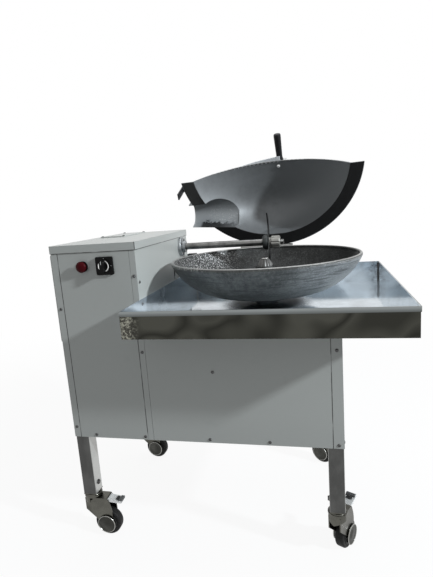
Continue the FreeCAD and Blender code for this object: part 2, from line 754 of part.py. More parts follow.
def motor():
    """The motor on its plate, with its shaft and the two grooved drive pulleys."""
    y, z = motor_from_front, motor_z
    end_cap = 22.0
    body = rod(Vector(motor_x + end_cap, y, z), motor_radius - 6.0, motor_length - 2 * end_cap)
    caps = [rod(Vector(motor_x, y, z), motor_radius, end_cap),
            rod(Vector(motor_x + motor_length - 2 * end_cap, y, z), motor_radius, 2 * end_cap)]
    fin_count = 14
    fins = []
    for count in range(fin_count):
        angle = 360.0 / fin_count * (count + 0.5)
        fin = block(motor_x + end_cap - 1, motor_x + motor_length - 2 * end_cap + 1, y - 1.5, y + 1.5,
                    z + motor_radius - 10.0, z + motor_radius - 1.0)
        fin.rotate(Vector(0, y, z), X, angle)
        fins.append(fin)
    foot_z = z - motor_axis_height
    foot = block(motor_x + 34.0, motor_x + motor_length - 54.0, y - motor_radius + 8.0,
                 y + motor_radius - 8.0, foot_z, foot_z + 34.0)
    box = block(motor_x + 60.0, motor_x + 140.0, y - 34.0, y + 34.0, z + motor_radius - 12.0,
                z + motor_radius + 22.0)
    body = joined([body, foot, box] + caps + fins)
    depth = 60.0
    body = body.cut(rod(Vector(motor_x - 1, y, z), motor_shaft_radius + running, depth + 1))
    add("motor_body", body)

    left = knife_belt_x - pulley_width / 2.0 - 3.0
    shaft = rod(Vector(left, y, z), motor_shaft_radius, motor_x + depth - slack - left)
    big = pulley(knife_belt_x, y, z, motor_knife_pitch, motor_shaft_radius, False)
    small = pulley(bowl_belt_x, y, z, motor_bowl_pitch, motor_shaft_radius, False)
    step_x = knife_belt_x + pulley_width / 2.0
    neck = tube(Vector(step_x, y, z), motor_shaft_radius + 6.0, motor_shaft_radius,
                bowl_belt_x - pulley_width / 2.0 - step_x)
    add("motor_rotor", joined([shaft, big, small, neck]))

    plate_z = lower_rail_top
    base = block(motor_x + 12.0, motor_x + motor_length - 22.0, y - 96.0, y + 96.0, plate_z, foot_z)
    for x in (motor_x + 24.0, motor_x + motor_length - 40.0):
        for side in (-1, 1):
            base = base.cut(block(x, x + 9.0, y + side * 84.0 - 7.0, y + side * 84.0 + 7.0,
                                  plate_z - 1, foot_z + 1))
    add("motor_plate", base)

    knife_belt = belt(knife_belt_x, (y, z, motor_knife_pitch),
                      (shaft_from_front, shaft_height, knife_pulley_pitch))
    bowl_belt = belt(bowl_belt_x, (y, z, motor_bowl_pitch), (worm_y, worm_z, worm_pulley_pitch))
    add("drive_belts", [knife_belt, bowl_belt])


def lid_section(y, shrink):
    """One arched section of the lid, across the machine at a depth of y."""
    half = math.sqrt(lid_dome_radius ** 2 - (y - bowl_y) ** 2) - shrink
    top = shaft_height + blade_reach + knife_room
    behind = y - shaft_from_front
    if behind > 0:
        room = blade_reach + knife_room
        top = shaft_height + math.sqrt(max(room ** 2 - behind ** 2, 0.0))
    low = lid_base if shrink else lid_plate
    ahead = max(shaft_from_front - y, 0.0) / (shaft_from_front - lid_front)
    crown = min(top, lid_plate + lid_height) + (0 if shrink else lid_sheet) - lid_front_droop * ahead ** 2
    left, right = Vector(bowl_x - half, y, low), Vector(bowl_x + half, y, low)
    return Part.Wire([arc(left, Vector(bowl_x, y, crown), right), line(right, left)])


def hood(x0, x1, grow):
    """The arched tunnel over the knife shaft, a little wider towards the bowl, or the room in it."""
    ends = []
    for x, flare in ((x0, 0.0), (x1, hood_flare)):
        front = shaft_from_front - hood_front_room - grow - flare
        back = shaft_from_front + hood_back_room + grow + flare
        low = lid_base - 1.0 if grow == 0 else lid_plate
        spring = lid_plate + hood_spring
        top = lid_plate + hood_height + grow + flare
        ends.append(Part.Wire([line(Vector(x, front, low), Vector(x, front, spring)),
                               arc(Vector(x, front, spring), Vector(x, (front + back) / 2.0, top),
                                   Vector(x, back, spring)),
                               line(Vector(x, back, spring), Vector(x, back, low)),
                               line(Vector(x, back, low), Vector(x, front, low))]))
    return Part.makeLoft(ends, True, True)


def lid_steps(first, last):
    """The depths of the lid's sections, closer together towards the back."""
    count = 8
    return [first + (last - first) * math.sin(math.pi / 2.0 * step / count) for step in range(count + 1)]


def lift(shape):
    """Swing a piece of the lid from closed to the open angle of the rest pose."""
    shape.rotate(Vector(0, hinge_y, hinge_z), X, -lid_open_angle)
    return shape


def skewed(shape):
    """Turn a piece of the lid a little round the bowl's axis, as its front edge is cut slightly askew."""
    shape.rotate(Vector(bowl_x, bowl_y, 0), Z, -lid_skew)
    return shape


def half_ring(outer, inner, low, high):
    """The part of a flat ring round the bowl's axis that lies behind the lid's front edge."""
    ring = tube(Vector(bowl_x, bowl_y, low), outer, inner, high - low, Z)
    keep = block(bowl_x - 2 * outer, bowl_x + 2 * outer, lid_front, bowl_y + 2 * outer, low - 1, high + 1)
    return skewed(ring.common(keep))


def lid():
    """The half lid, drawn closed and then swung open."""
    back = bowl_y + lid_dome_radius - 4.0
    outer = skewed(Part.makeLoft([lid_section(y, 0.0) for y in lid_steps(lid_front, back)], True, False))
    inner = skewed(Part.makeLoft([lid_section(y, lid_sheet) for y in lid_steps(lid_front - 8.0, back - lid_sheet)],
                                 True, False))
    rim = half_ring(lid_radius, lid_dome_radius - 1.0, lid_plate, lid_plate + lid_sheet)
    lip = half_ring(lid_radius, lid_radius - sheet, lid_base, lid_plate)
    hood_x = column_width + hood_left_gap
    mouth = block(hood_x - 30.0, hood_x + 1.0, shaft_from_front - hood_front_room,
                  shaft_from_front + hood_back_room, lid_base - 1, lid_plate + hood_spring)
    shell = joined([outer, rim, lip, hood(hood_x, hood_x + hood_length, lid_sheet)])
    shell = shell.cut(inner).cut(hood(hood_x, hood_x + hood_length, 0.0)).cut(mouth)
    add("lid_shell", lift(max(shell.Solids, key=lambda solid: solid.Volume)))

    seal = half_ring(lid_radius - sheet, lid_radius - lid_seal_width, lid_base, lid_plate)
    seal = seal.cut(hood(hood_x, hood_x + hood_length, 0.0)).cut(mouth)
    add("lid_seal", [lift(piece) for piece in seal.Solids])

    seat = 1.0
    bar_y = lid_front + handle_set_back
    behind = shaft_from_front - bar_y - handle_bar_thickness
    depth = shaft_from_front - lid_front
    rise = lid_height + lid_sheet - lid_front_droop * (behind / depth) ** 2
    slope = math.degrees(math.atan(2.0 * lid_front_droop * behind / depth ** 2))
    half = math.sqrt(lid_dome_radius ** 2 - (bar_y + handle_bar_thickness - bowl_y) ** 2)
    arch_radius = (half ** 2 + rise ** 2) / (2.0 * rise)
    top = lid_plate + rise + seat

    def on_arch(x):
        """The point of the front arch at x, just above the sheet."""
        drop = arch_radius - math.sqrt(arch_radius ** 2 - (x - bowl_x) ** 2)
        return Vector(x, bar_y, top - drop)

    bar_right = bowl_x + handle_from_axis + handle_radius + 10.0
    bar_left = bar_right - handle_bar_length
    foot_depth = 24.0
    crest = [on_arch(bar_right), Vector(bar_right, bar_y, top + handle_bar_rise),
             Vector(bar_right - 30.0, bar_y, top + handle_bar_rise),
             on_arch(bar_left) + Z * 6.0, on_arch(bar_left)]
    edges = [line(a, b) for a, b in zip(crest, crest[1:])]
    edges.append(arc(on_arch(bar_left), on_arch(bowl_x), on_arch(bar_right)))
    fin = slab(plate(edges), Y * handle_bar_thickness)
    foot = block(bowl_x - 24.0, bowl_x + 24.0, bar_y, bar_y + foot_depth,
                 top + seat, top + seat + handle_bar_thickness)
    foot.rotate(Vector(bowl_x, bar_y, top + seat), X, slope)
    bar = joined([fin, foot])
    handle_at = Vector(bowl_x + handle_from_axis, bar_y, top + handle_bar_rise - handle_radius - 3.0)
    stud_radius = 4.0
    bar = bar.cut(rod(handle_at - Y, stud_radius, handle_bar_thickness + 2, Y))
    add("handle_bar", lift(skewed(bar)))

    grip = rod(handle_at, handle_radius, handle_length, -Y)
    ends = [e for e in grip.Edges if len(e.Vertexes) == 1 and e.CenterOfMass.y < handle_at.y - 1]
    grip = grip.makeFillet(5.0, ends)
    stud = rod(handle_at, stud_radius, handle_bar_thickness, Y)
    nut = rod(handle_at + Y * handle_bar_thickness, 8.0, 6.0, Y)
    add("lid_handle", lift(skewed(joined([grip, stud, nut]))))

    tab_y = lid_front + tab_from_front_edge
    wall_gap = 4.0
    tab_x = column_width + wall_gap
    tab_top = lid_plate + lid_sheet
    tab = joined([block(tab_x, tab_x + tab_thickness, tab_y, tab_y + tab_width,
                        lid_plate - tab_drop, tab_top + tab_thickness),
                  block(tab_x, tab_x + 26.0, tab_y, tab_y + tab_width, tab_top, tab_top + tab_thickness)])
    add("interlock_tab", lift(tab))


def hinge():
    """The beam behind the bowl, the ears on it, the pin and the lid's hinge leaf."""
    arm_x = column_width - beam_foot - 3.5
    beam_right = hinge_x + hinge_span / 2.0 + hinge_ear
    cross = square_tube(arm_x, beam_right, beam_y, beam_y + beam_tube, beam_z, beam_z + beam_tube, "x", beam_wall)
    arm = square_tube(arm_x, arm_x + beam_tube, body_depth + beam_foot_thickness, beam_y,
                      beam_z, beam_z + beam_tube, "y", beam_wall)
    foot_left = arm_x + beam_tube / 2.0 - beam_foot / 2.0
    middle = beam_z + beam_tube / 2.0
    foot = block(foot_left, foot_left + beam_foot, body_depth, body_depth + beam_foot_thickness,
                 middle - beam_foot / 2.0, middle + beam_foot / 2.0)
    beam = joined([cross, arm, foot])
    add("hinge_beam", beam)

    plug_x = arm_x + beam_tube + 5.0
    outer = block(plug_x, plug_x + sleeve_length, beam_y - sleeve_wall, beam_y + beam_tube + sleeve_wall,
                  beam_z - sleeve_wall, beam_z + beam_tube + sleeve_wall)
    inner = block(plug_x, plug_x + sleeve_length, beam_y, beam_y + beam_tube, beam_z, beam_z + beam_tube)
    add("beam_sleeve", outer.cut(inner))

    base_z = beam_z + beam_tube
    left = hinge_x - hinge_span / 2.0
    right = hinge_x + hinge_span / 2.0
    base = block(left - hinge_ear, right + hinge_ear, beam_y, beam_y + beam_tube, base_z, base_z + leaf_thickness)
    ears = []
    for x0 in (left - hinge_ear, hinge_x - hinge_ear / 2.0, right):
        ear = block(x0, x0 + hinge_ear, hinge_y - knuckle_radius, hinge_y + knuckle_radius, base_z, hinge_z)
        ears += [ear, rod(Vector(x0, hinge_y, hinge_z), knuckle_radius, hinge_ear)]
    ears = joined([base] + ears)
    pin_start = Vector(left - hinge_ear - 1.0, hinge_y, hinge_z)
    pin = rod(pin_start, hinge_pin_radius, hinge_span + 2 * hinge_ear + 2.0)
    pin_head = rod(Vector(right + hinge_ear, hinge_y, hinge_z), hinge_pin_radius + 3.0, 4.0)
    add("hinge_bracket", joined([ears, pin, pin_head]))

    leaf_z = lid_plate + lid_sheet
    web_front = bowl_y + lid_radius + slack
    side = 0.5
    parts = []
    for x0, x1 in ((left + side, hinge_x - hinge_ear / 2.0 - side), (hinge_x + hinge_ear / 2.0 + side, right - side)):
        parts.append(rod(Vector(x0, hinge_y, hinge_z), knuckle_radius, x1 - x0))
        parts.append(block(x0, x1, web_front, web_front + leaf_thickness, hinge_z, leaf_z + leaf_thickness))
    strip_front = bowl_y + lid_dome_radius + 3.0
    parts.append(block(left + side, right - side, strip_front, web_front + leaf_thickness,
                       leaf_z, leaf_z + leaf_thickness))
    leaf = joined(parts).cut(rod(Vector(left, hinge_y, hinge_z), hinge_pin_radius + running, hinge_span))
    add("lid_hinge_leaf", lift(leaf))

    slot_y = lid_front + tab_from_front_edge + tab_width / 2.0
    switch_depth = 34.0
    switch_z = tray_rim + 4.0
    body = block(column_width - sheet - switch_depth, column_width - sheet, slot_y - 15.0, slot_y + 15.0,
                 switch_z, switch_z + 46.0)
    nose = block(column_width - sheet, column_width + 1.0, slot_y - 3.0, slot_y + 3.0,
                 switch_z + 10.0, switch_z + 30.0)
    add("lid_switch", joined([body, nose]))


def controls():
    """The push button for stopping and the turning main switch."""
    here = Vector(stop_x, 0, control_height)
    ring = rod(here - Y * 3.5, stop_head_radius - 0.5, 3.5, Y)
    barrel = rod(here, stop_barrel_radius, 24.0, Y)
    contacts = block(stop_x - 14.0, stop_x + 14.0, 24.0, 52.0, control_height - 20.0, control_height + 20.0)
    holder = joined([ring, barrel, contacts])
    stem_end = 16.0
    holder = holder.cut(rod(here - Y * 4.0, stop_stem_radius + running, 4.0 + stem_end + stop_travel + slack, Y))
    nut = tube(here + Y * sheet, stop_barrel_radius + 4.0, stop_barrel_radius, 4.0, Y)
    add("stop_button_holder", joined([holder, nut]))

    front = stop_travel + 5.0
    stem = rod(here - Y * front, stop_stem_radius, front + stem_end, Y)
    profile = [line(Vector(stop_x, -front, control_height), Vector(stop_x, -front - 9.0, control_height)),
               arc(Vector(stop_x, -front - 9.0, control_height),
                   Vector(stop_x + 0.75 * stop_head_radius, -front - 6.5, control_height),
                   Vector(stop_x + stop_head_radius, -front - 2.0, control_height)),
               line(Vector(stop_x + stop_head_radius, -front - 2.0, control_height),
                    Vector(stop_x + stop_head_radius, -front, control_height)),
               line(Vector(stop_x + stop_head_radius, -front, control_height),
                    Vector(stop_x, -front, control_height))]
    head = plate(profile).revolve(here, Y, 360)
    add("stop_button", joined([head, stem]))

    half = switch_plate_side / 2.0
    thick = 6.0
    cover = block(switch_x - half, switch_x + half, -thick, 0, control_height - half, control_height + half)
    corners = [e for e in cover.Edges if abs(e.tangentAt(e.FirstParameter).y) > 0.99]
    cover = cover.makeFillet(4.0, corners)
    neck = rod(Vector(switch_x, 0, control_height), stop_barrel_radius, sheet, Y)
    stack = block(switch_x - 20.0, switch_x + 20.0, sheet, 46.0, control_height - 20.0, control_height + 20.0)
    shaft = 4.0
    depth = 12.0
    body = joined([cover, neck, stack])
    body = body.cut(rod(Vector(switch_x, -thick - 1, control_height), shaft + running, depth + 1, Y))
    add("switch_body", body)

    skirt = 4.0
    face = -thick - slack
    disc = rod(Vector(switch_x, face - skirt, control_height), knob_radius, skirt, Y)
    grip = block(switch_x - knob_grip_width / 2.0, switch_x + knob_grip_width / 2.0,
                 face - skirt - knob_grip_depth, face - skirt, control_height - knob_radius + 1.0,
                 control_height + knob_radius - 1.0)
    edges = [e for e in grip.Edges if abs(e.tangentAt(e.FirstParameter).y) > 0.99]
    grip = grip.makeFillet(3.0, edges)
    stem = rod(Vector(switch_x, face, control_height), shaft, depth - slack, Y)
    add("switch_knob", joined([disc, grip, stem]))


def caster(corner, centre_x, centre_y):
    """One swivel caster: fork, hub and tyre, and a brake pedal on the front ones."""
    plate_z = leg_bottom - 3.0
    swivel = Vector(centre_x, centre_y, 0)
    turn = caster_turns[corner]

    def turned(shape):
        shape.translate(swivel)
        shape.rotate(swivel, Z, turn)
        return shape

    inner = wheel_width / 2.0 + fork_gap
    crown_top = plate_z - slack
    crown_low = crown_top - 12.0
    yoke_low = crown_low - 4.0
    crown = rod(Vector(0, 0, crown_low), raceway_radius, crown_top - crown_low, Z)
    crown = crown.makeFillet(4.0, [e for e in crown.Edges if len(e.Vertexes) == 1])
    yoke_end = caster_trail + 6.0
    yoke = block(-raceway_radius + 4.0, yoke_end, -inner - fork_plate, inner + fork_plate, yoke_low, crown_low)
    cheek_back = -raceway_radius + 4.0
    nose = Vector(yoke_end + 14.0, 0, wheel_radius + 38.0)
    low = wheel_radius - 15.0
    outline = plate([
        line(Vector(cheek_back, 0, crown_low), Vector(yoke_end, 0, crown_low)),
        arc(Vector(yoke_end, 0, crown_low), nose, Vector(caster_trail + 15.0, 0, wheel_radius)),
        arc(Vector(caster_trail + 15.0, 0, wheel_radius), Vector(caster_trail, 0, low),
            Vector(caster_trail - 15.0, 0, wheel_radius)),
        line(Vector(caster_trail - 15.0, 0, wheel_radius), Vector(cheek_back, 0, wheel_radius + 44.0)),
        line(Vector(cheek_back, 0, wheel_radius + 44.0), Vector(cheek_back, 0, crown_low))])
    cheeks = []
    for y0 in (inner, -inner - fork_plate):
        cheek = slab(outline.copy(), Y * fork_plate)
        cheek.translate(Y * y0)
        cheeks.append(cheek)
    reach = inner + fork_plate
    axle = rod(Vector(caster_trail, -reach, wheel_radius), axle_radius, 2 * reach, Y)
    heads = [rod(Vector(caster_trail, side * reach, wheel_radius), 2 * axle_radius, 4.0, Y * side)
             for side in (-1, 1)]
    fork = joined([crown, yoke] + cheeks)
    fork = fork.cut(rod(Vector(0, 0, yoke_low - 1), king_pin_radius + running, crown_top - yoke_low + 2, Z))
    fork = joined([fork, axle] + heads)
    braked = corner.startswith("front")
    pivot = Vector(yoke_end + 3.0, 0, yoke_low - 4.0)
    pin_radius = 2.5
    if braked:
        fork = fork.fuse(rod(pivot - Y * reach, pin_radius, 2 * reach, Y)).removeSplitter()
    add(corner + "_fork", turned(fork))

    hub_half = inner - 0.5
    tyre_half = wheel_width / 2.0
    centre = Vector(caster_trail, 0, wheel_radius)
    hub = rod(centre - Y * tyre_half, hub_radius, wheel_width, Y)
    for side in (-1, 1):
        dish = tube(centre + Y * (side * tyre_half), hub_radius - 4.0, hub_radius / 2.0, 5.0, Y * (-side))
        hub = hub.cut(dish)
    boss = rod(centre - Y * hub_half, 9.0, 2 * hub_half, Y)
    hub = joined([hub, boss]).cut(rod(centre - Y * inner, axle_radius + running, 2 * inner, Y))
    add(corner + "_hub", turned(hub))
    tyre = tube(centre - Y * tyre_half, wheel_radius, hub_radius, wheel_width, Y)
    rims = [e for e in tyre.Edges if len(e.Vertexes) == 1 and abs(e.Curve.Radius - wheel_radius) < 0.01]
    add(corner + "_tyre", turned(tyre.makeFillet(6.0, rims)))

    if braked:
        half = inner - 0.5
        end = pivot.x + pedal_length
        z0 = pivot.z
        side_view = polygon([Vector(pivot.x, -half, z0 - 4.0), Vector(pivot.x + 16.0, -half, z0 - 2.0),
                             Vector(end, -half, z0 + 2.0), Vector(end, -half, z0 + 9.0),
                             Vector(end - 6.0, -half, z0 + 9.0), Vector(end - 10.0, -half, z0 + 6.0),
                             Vector(pivot.x, -half, z0 + 4.0)])
        pedal = joined([slab(side_view, Y * (2 * half)), rod(pivot - Y * half, 5.0, 2 * half, Y)])
        pedal = pedal.cut(rod(pivot - Y * (half + 1), pin_radius + running, 2 * half + 2, Y))
        pedal.rotate(pivot, -Y, pedal_tilts[corner])
        add(corner + "_pedal", turned(pedal))

    top = block(-leg_tube / 2.0, leg_tube / 2.0, -leg_tube / 2.0, leg_tube / 2.0, plate_z, leg_bottom)
    pin = rod(Vector(0, 0, yoke_low - 1.0), king_pin_radius, plate_z - yoke_low + 1.0, Z)
    cap = rod(Vector(0, 0, yoke_low - 5.0), king_pin_radius + 3.0, 4.0 - slack, Z)
    mount = joined([top, pin, cap])
    mount.translate(swivel)
    return mount


def casters():
    """The four casters under the legs, and the plates and pins that hold them."""
    left = inner_face + leg_tube / 2.0
    right = right_inside - leg_tube / 2.0
    front = inner_face + leg_tube / 2.0
    back = rear_inside - leg_tube / 2.0
    mounts = [caster("front_left", left, front), caster("front_right", right, front),
              caster("rear_left", left, back), caster("rear_right", right, back)]
    add("caster_mounts", mounts)


def settle():
    """Move every piece, so that the origin is on the floor under the middle of the whole."""
    box = FreeCAD.BoundBox()
    for shape in pieces.values():
        box.add(shape.optimalBoundingBox(False, False))
    shift = Vector(-box.Center.x, -box.Center.y, -box.ZMin)
    for shape in pieces.values():
        shape.translate(shift)
    return shift


def build():
    frame()
    casing()
    panel_screws()
    tray()
    bowl_drive(bowl())
    knife_drive()
    motor()
    lid()
    hinge()
    controls()
    casters()
    return settle()


shift = build()
os.makedirs("parts", exist_ok=True)
for name, shape in pieces.items():
    shape.exportStep("parts/" + name + ".step")
print("origin moved by", round(shift.x, 3), round(shift.y, 3), round(shift.z, 3))
print(len(pieces), "pieces")
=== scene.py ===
import json
import math
from functools import reduce
from operator import add

import bmesh
import bpy
from bpy.props import FloatProperty, FloatVectorProperty, IntProperty, PointerProperty
from bpy.types import Operator, Panel, PropertyGroup, Scene
from mathutils import Matrix, Vector


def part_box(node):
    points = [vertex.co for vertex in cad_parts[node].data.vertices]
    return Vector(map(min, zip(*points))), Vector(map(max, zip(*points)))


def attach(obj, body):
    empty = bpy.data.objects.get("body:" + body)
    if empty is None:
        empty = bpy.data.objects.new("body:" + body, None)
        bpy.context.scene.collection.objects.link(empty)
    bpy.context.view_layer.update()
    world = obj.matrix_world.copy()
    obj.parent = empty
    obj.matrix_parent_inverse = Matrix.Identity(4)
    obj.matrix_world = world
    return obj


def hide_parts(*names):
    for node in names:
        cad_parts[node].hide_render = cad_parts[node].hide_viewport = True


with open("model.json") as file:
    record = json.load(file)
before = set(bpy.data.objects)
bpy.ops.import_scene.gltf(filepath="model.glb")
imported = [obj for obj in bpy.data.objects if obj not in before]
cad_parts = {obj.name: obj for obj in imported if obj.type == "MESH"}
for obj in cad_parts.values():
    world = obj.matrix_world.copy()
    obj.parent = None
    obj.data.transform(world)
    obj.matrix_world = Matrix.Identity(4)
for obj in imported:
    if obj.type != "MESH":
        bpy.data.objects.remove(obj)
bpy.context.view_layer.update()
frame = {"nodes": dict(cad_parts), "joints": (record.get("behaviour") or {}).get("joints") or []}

bl_info = {
    "name": "Vegetable cutting machine",
    "version": (1, 0, 0),
    "blender": (4, 5, 0),
    "location": "3D View > Sidebar > Cutter",
    "description": "Finishes and small pieces for a bowl cutter with a lifting half lid",
    "category": "Object",
}

MM = 0.001
joints = {joint["name"]: joint for joint in frame["joints"]}


def at(x, y, z):
    """A place, or a step from one place to another, in metres."""
    return Vector((x, y, z))


def mm(*points):
    """Points written in millimetres, in metres."""
    return [tuple(c * MM for c in point) for point in points]


def pivot(joint):
    """The place that the frame gives on a joint's axis."""
    return Vector(joints[joint]["pos_m"])


def compass(angle):
    """A level direction, turned from X towards Y."""
    return at(math.cos(angle), math.sin(angle), 0)


def heading(start, end):
    """The level direction from one place to another, and the one square to it."""
    along = at(end.x - start.x, end.y - start.y, 0).normalized()
    return along, at(-along.y, along.x, 0)


def corners(places):
    """The lowest and highest corners of the box round some places."""
    return tuple(Vector(end(p[i] for p in places) for i in range(3)) for end in (min, max))


def front_centre(node):
    """The middle of the front of a node's box."""
    low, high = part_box(node)
    return at((low.x + high.x) / 2, low.y, (low.z + high.z) / 2)


X, Y, Z = at(1, 0, 0), at(0, 1, 0), at(0, 0, 1)
bowl_axis = pivot("bowl_turn")
shaft_axis = pivot("knife_spin")
hinge_axis = pivot("lid_hinge")
lid_open_angle = -joints["lid_hinge"]["range_deg"][0]
tray_low, tray_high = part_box("tray")


# Shader building


def maths(operation, reflected=False):
    """A Python operator that adds a Math node."""
    def work(self, other):
        first, second = (other, self) if reflected else (self, other)
        return self.shader.maths(operation, first, second)
    return work


class Value:
    """One socket of a shader, for use in Python expressions."""

    def __init__(self, shader, socket):
        self.shader = shader
        self.socket = socket

    __add__ = __radd__ = maths("ADD")
    __mul__ = __rmul__ = maths("MULTIPLY")
    __sub__ = maths("SUBTRACT")
    __rsub__ = maths("SUBTRACT", reflected=True)
    __gt__ = maths("GREATER_THAN")
    __lt__ = maths("LESS_THAN")


class Shader:
    """The nodes of a material, or of another owner, built from the surface's own place and noise."""

    def __init__(self, name, owner=None):
        self.owner = owner or bpy.data.materials.new(name)
        self.owner.use_nodes = True
        self.tree = self.owner.node_tree
        self.tree.nodes.clear()
        self.place = self.node("TexCoord", output="Object")

    def node(self, kind, settings=None, inputs=None, output=0):
        """Add a shader node: settings first, then the values or links of its sockets."""
        added = self.tree.nodes.new("ShaderNode" + kind)
        for key, setting in (settings or {}).items():
            if key == "stops":
                ramp = added.color_ramp
                while len(ramp.elements) < len(setting):
                    ramp.elements.new(1.0)
                for element, (spot, colour) in zip(ramp.elements, setting):
                    element.position = spot
                    element.color = (*colour, 1.0)
            else:
                setattr(added, key, setting)
        for key, given in (inputs or {}).items():
            socket = added.inputs[key]
            if isinstance(given, Value):
                self.tree.links.new(given.socket, socket)
            elif socket.type == "RGBA":
                socket.default_value = (*given, 1.0)
            else:
                socket.default_value = given
        return Value(self, added.outputs[output]) if len(added.outputs) else None

    def maths(self, operation, *values):
        """A Math node."""
        return self.node("Math", {"operation": operation}, dict(enumerate(values)))

    def axis(self, letter):
        """One coordinate of the surface's place, in metres."""
        return self.node("SeparateXYZ", inputs={0: self.place}, output=letter)

    def facing(self, letter):
        """One part of the surface's own normal."""
        normal = self.node("TexCoord", output="Normal")
        return self.node("SeparateXYZ", inputs={0: normal}, output=letter)

    def noise(self, size, detail=3.0, rough=0.5, stretch=(1, 1, 1)):
        """Cloudy noise with lumps of a size in metres, longer where stretch is smaller."""
        place = self.node("VectorMath", {"operation": "MULTIPLY"}, {0: self.place, 1: stretch})
        sockets = {"Vector": place, "Scale": 1 / size, "Detail": detail, "Roughness": rough}
        return self.node("TexNoise", inputs=sockets)

    def fade(self, value, start, end):
        """0 at start and 1 at end, smoothly."""
        sockets = {"Value": value, "From Min": start, "From Max": end}
        return self.node("MapRange", {"interpolation_type": "SMOOTHSTEP"}, sockets)

    def from_axis(self, centre, letters="XY"):
        """The distance from a line through centre, along the letter left out."""
        offsets = [self.axis(letter) - getattr(centre, letter.lower()) for letter in letters]
        squared = reduce(add, [offset * offset for offset in offsets])
        return self.maths("SQRT", squared)

    def rings(self, distance, closeness):
        """Rings round an axis, such as a lathe leaves."""
        return self.maths("SINE", distance * closeness)

    def clamp(self, value):
        """A value kept between 0 and 1."""
        return self.node("Clamp", inputs={"Value": value})

    def blend(self, mask, first, second):
        """A colour that goes from first to second with mask."""
        return self.node("Mix", {"data_type": "RGBA"}, {0: mask, 6: first, 7: second}, 2)

    def coats(self, colour, *layers):
        """A colour with layers of (mask, colour) laid over it; a number is a share of the first colour."""
        shade = colour
        for mask, over in layers:
            shade = self.blend(mask, shade, tone(colour, over) if isinstance(over, float) else over)
        return shade

    def bump(self, height, depth, strength):
        """A normal from a height pattern, depth in metres."""
        return self.node("Bump", inputs={"Height": height, "Distance": depth, "Strength": strength})

    def principled(self, **sockets):
        """The main surface node."""
        named = {key.replace("_", " ").title().replace("Ior", "IOR"): given for key, given in sockets.items()}
        return self.node("BsdfPrincipled", inputs=named)

    def close(self, shown):
        """Send a surface to the material's output."""
        self.node("OutputMaterial", inputs={"Surface": shown})
        return self.owner

    def surface(self, shade, rough, bump=None, **sockets):
        """Close the material with one main node; bump is a height, its depth and strength."""
        if bump:
            sockets["normal"] = self.bump(*bump)
        return self.close(self.principled(base_color=shade, roughness=rough, **sockets))


# Finishes


def tone(colour, share):
    """A colour times a share."""
    return tuple(c * share for c in colour)


def grey(level):
    """A grey as a colour."""
    return (level, level, level)


def powder_coat(name, colour):
    """Pale satin paint on sheet, with a little handling grime and orange peel."""
    s = Shader(name)
    clouds = s.noise(0.35, 2.0)
    specks = s.noise(0.004, 2.0)
    grime = s.fade(s.noise(0.06, 5.0, 0.65), 0.58, 0.80)
    # Darker towards the bottom of the casing.
    darker_low = s.fade(s.axis("Z"), 0.42, 0.32)
    # Dark seam lines, with painted shade along the cover's lower edge.
    seams_and_shade = seams_and_lip_shade(s) * s.fade(s.noise(0.05, 3.0), 0.30, 0.50)
    shade = s.coats(colour, (clouds * 0.6, 0.88), (grime * 0.22, 0.72),
                    (darker_low * 0.18, 0.7), (seams_and_shade * 0.9, (0.05, 0.05, 0.048)))
    return s.surface(shade, 0.36 + grime * 0.12 + clouds * 0.05, bump=(specks, 0.00006, 0.5),
                     coat_weight=0.15, coat_roughness=0.25)


def seams_and_lip_shade(s):
    """Dark upright seam lines on the front and down the cover's front right corner, and painted shade in a
    line along the cover's lower edge.
    """
    cover_low, cover_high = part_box("top_cover")
    x, y, z = s.axis("X"), s.axis("Y"), s.axis("Z")
    core, rim = (0.7 * MM) ** 2, 1.6 * MM
    upright = []
    for node, end in (("column_front_panel", 0), ("column_front_panel", 1), ("cabinet_front_panel", 1)):
        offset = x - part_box(node)[end].x
        dirt = s.fade(offset * offset, rim ** 2, core) * s.fade(y, 0.0, -0.1)
        if node == "column_front_panel" and end == 1:
            dirt = dirt * s.fade(z, tray_high.z, tray_low.z)
        upright.append(dirt)
    below_lip = s.fade(z, cover_low.z + 0.5 * MM, cover_low.z - 0.5 * MM)
    corner = (x > cover_high.x - rim) * (y < cover_low.y + 3 * MM) * (z > cover_low.z)
    # Painted shade: a dark line along the lower edge of the cover's lip, all round.
    under = z - cover_low.z
    return s.clamp(reduce(add, upright) * below_lip + corner + s.fade(under * under, (1.5 * MM) ** 2, core))


def brushed_metal(name, colour, dark=0.6, rough=0.28, stretch=(1, 1, 0.03), grain=0.0016):
    """Metal with fine brush marks along one axis and cloudy smudges."""
    s = Shader(name)
    marks = s.noise(grain, 2.0, 0.6, stretch)
    clouds = s.noise(0.07, 4.0, 0.6)
    shade = s.coats(colour, (s.fade(clouds, 0.35, 0.75), tone(colour, dark)), (marks * 0.25, 0.6))
    return s.surface(shade, rough + marks * 0.12 + clouds * 0.1, metallic=1.0, bump=(marks, 0.00005, 0.35))


def legs_with_painted_shade(name, colour):
    """Brushed tube, with painted shade on its front and back faces and painted light on its sides."""
    s = Shader(name)
    marks = s.noise(0.0016, 2.0, 0.6, (1, 1, 0.03))
    clouds = s.noise(0.05, 4.0, 0.6, (1, 1, 0.5))
    lit_sides = s.facing("X")
    # Painted light and shade by facing: the sides take the full colour, and the front and back faces a dark
    # copy of it.
    shade = s.coats(tone(colour, 0.13), (lit_sides * lit_sides, colour),
                    (s.fade(clouds, 0.40, 0.70) * 0.2, tone(colour, 0.45)))
    return s.surface(shade, 0.26 + marks * 0.15, metallic=0.7, bump=(marks, 0.00005, 0.35))


def cast_metal(name, colour, lumps=0.0025, rough=0.55, metallic=0.0):
    """A cast or painted rough surface."""
    s = Shader(name)
    grains = s.noise(lumps, 3.0, 0.6)
    shade = s.blend(s.noise(0.05, 4.0, 0.6), colour, tone(colour, 0.65))
    return s.surface(shade, rough + grains * 0.15, metallic=metallic, bump=(grains, 0.0003, 0.5))


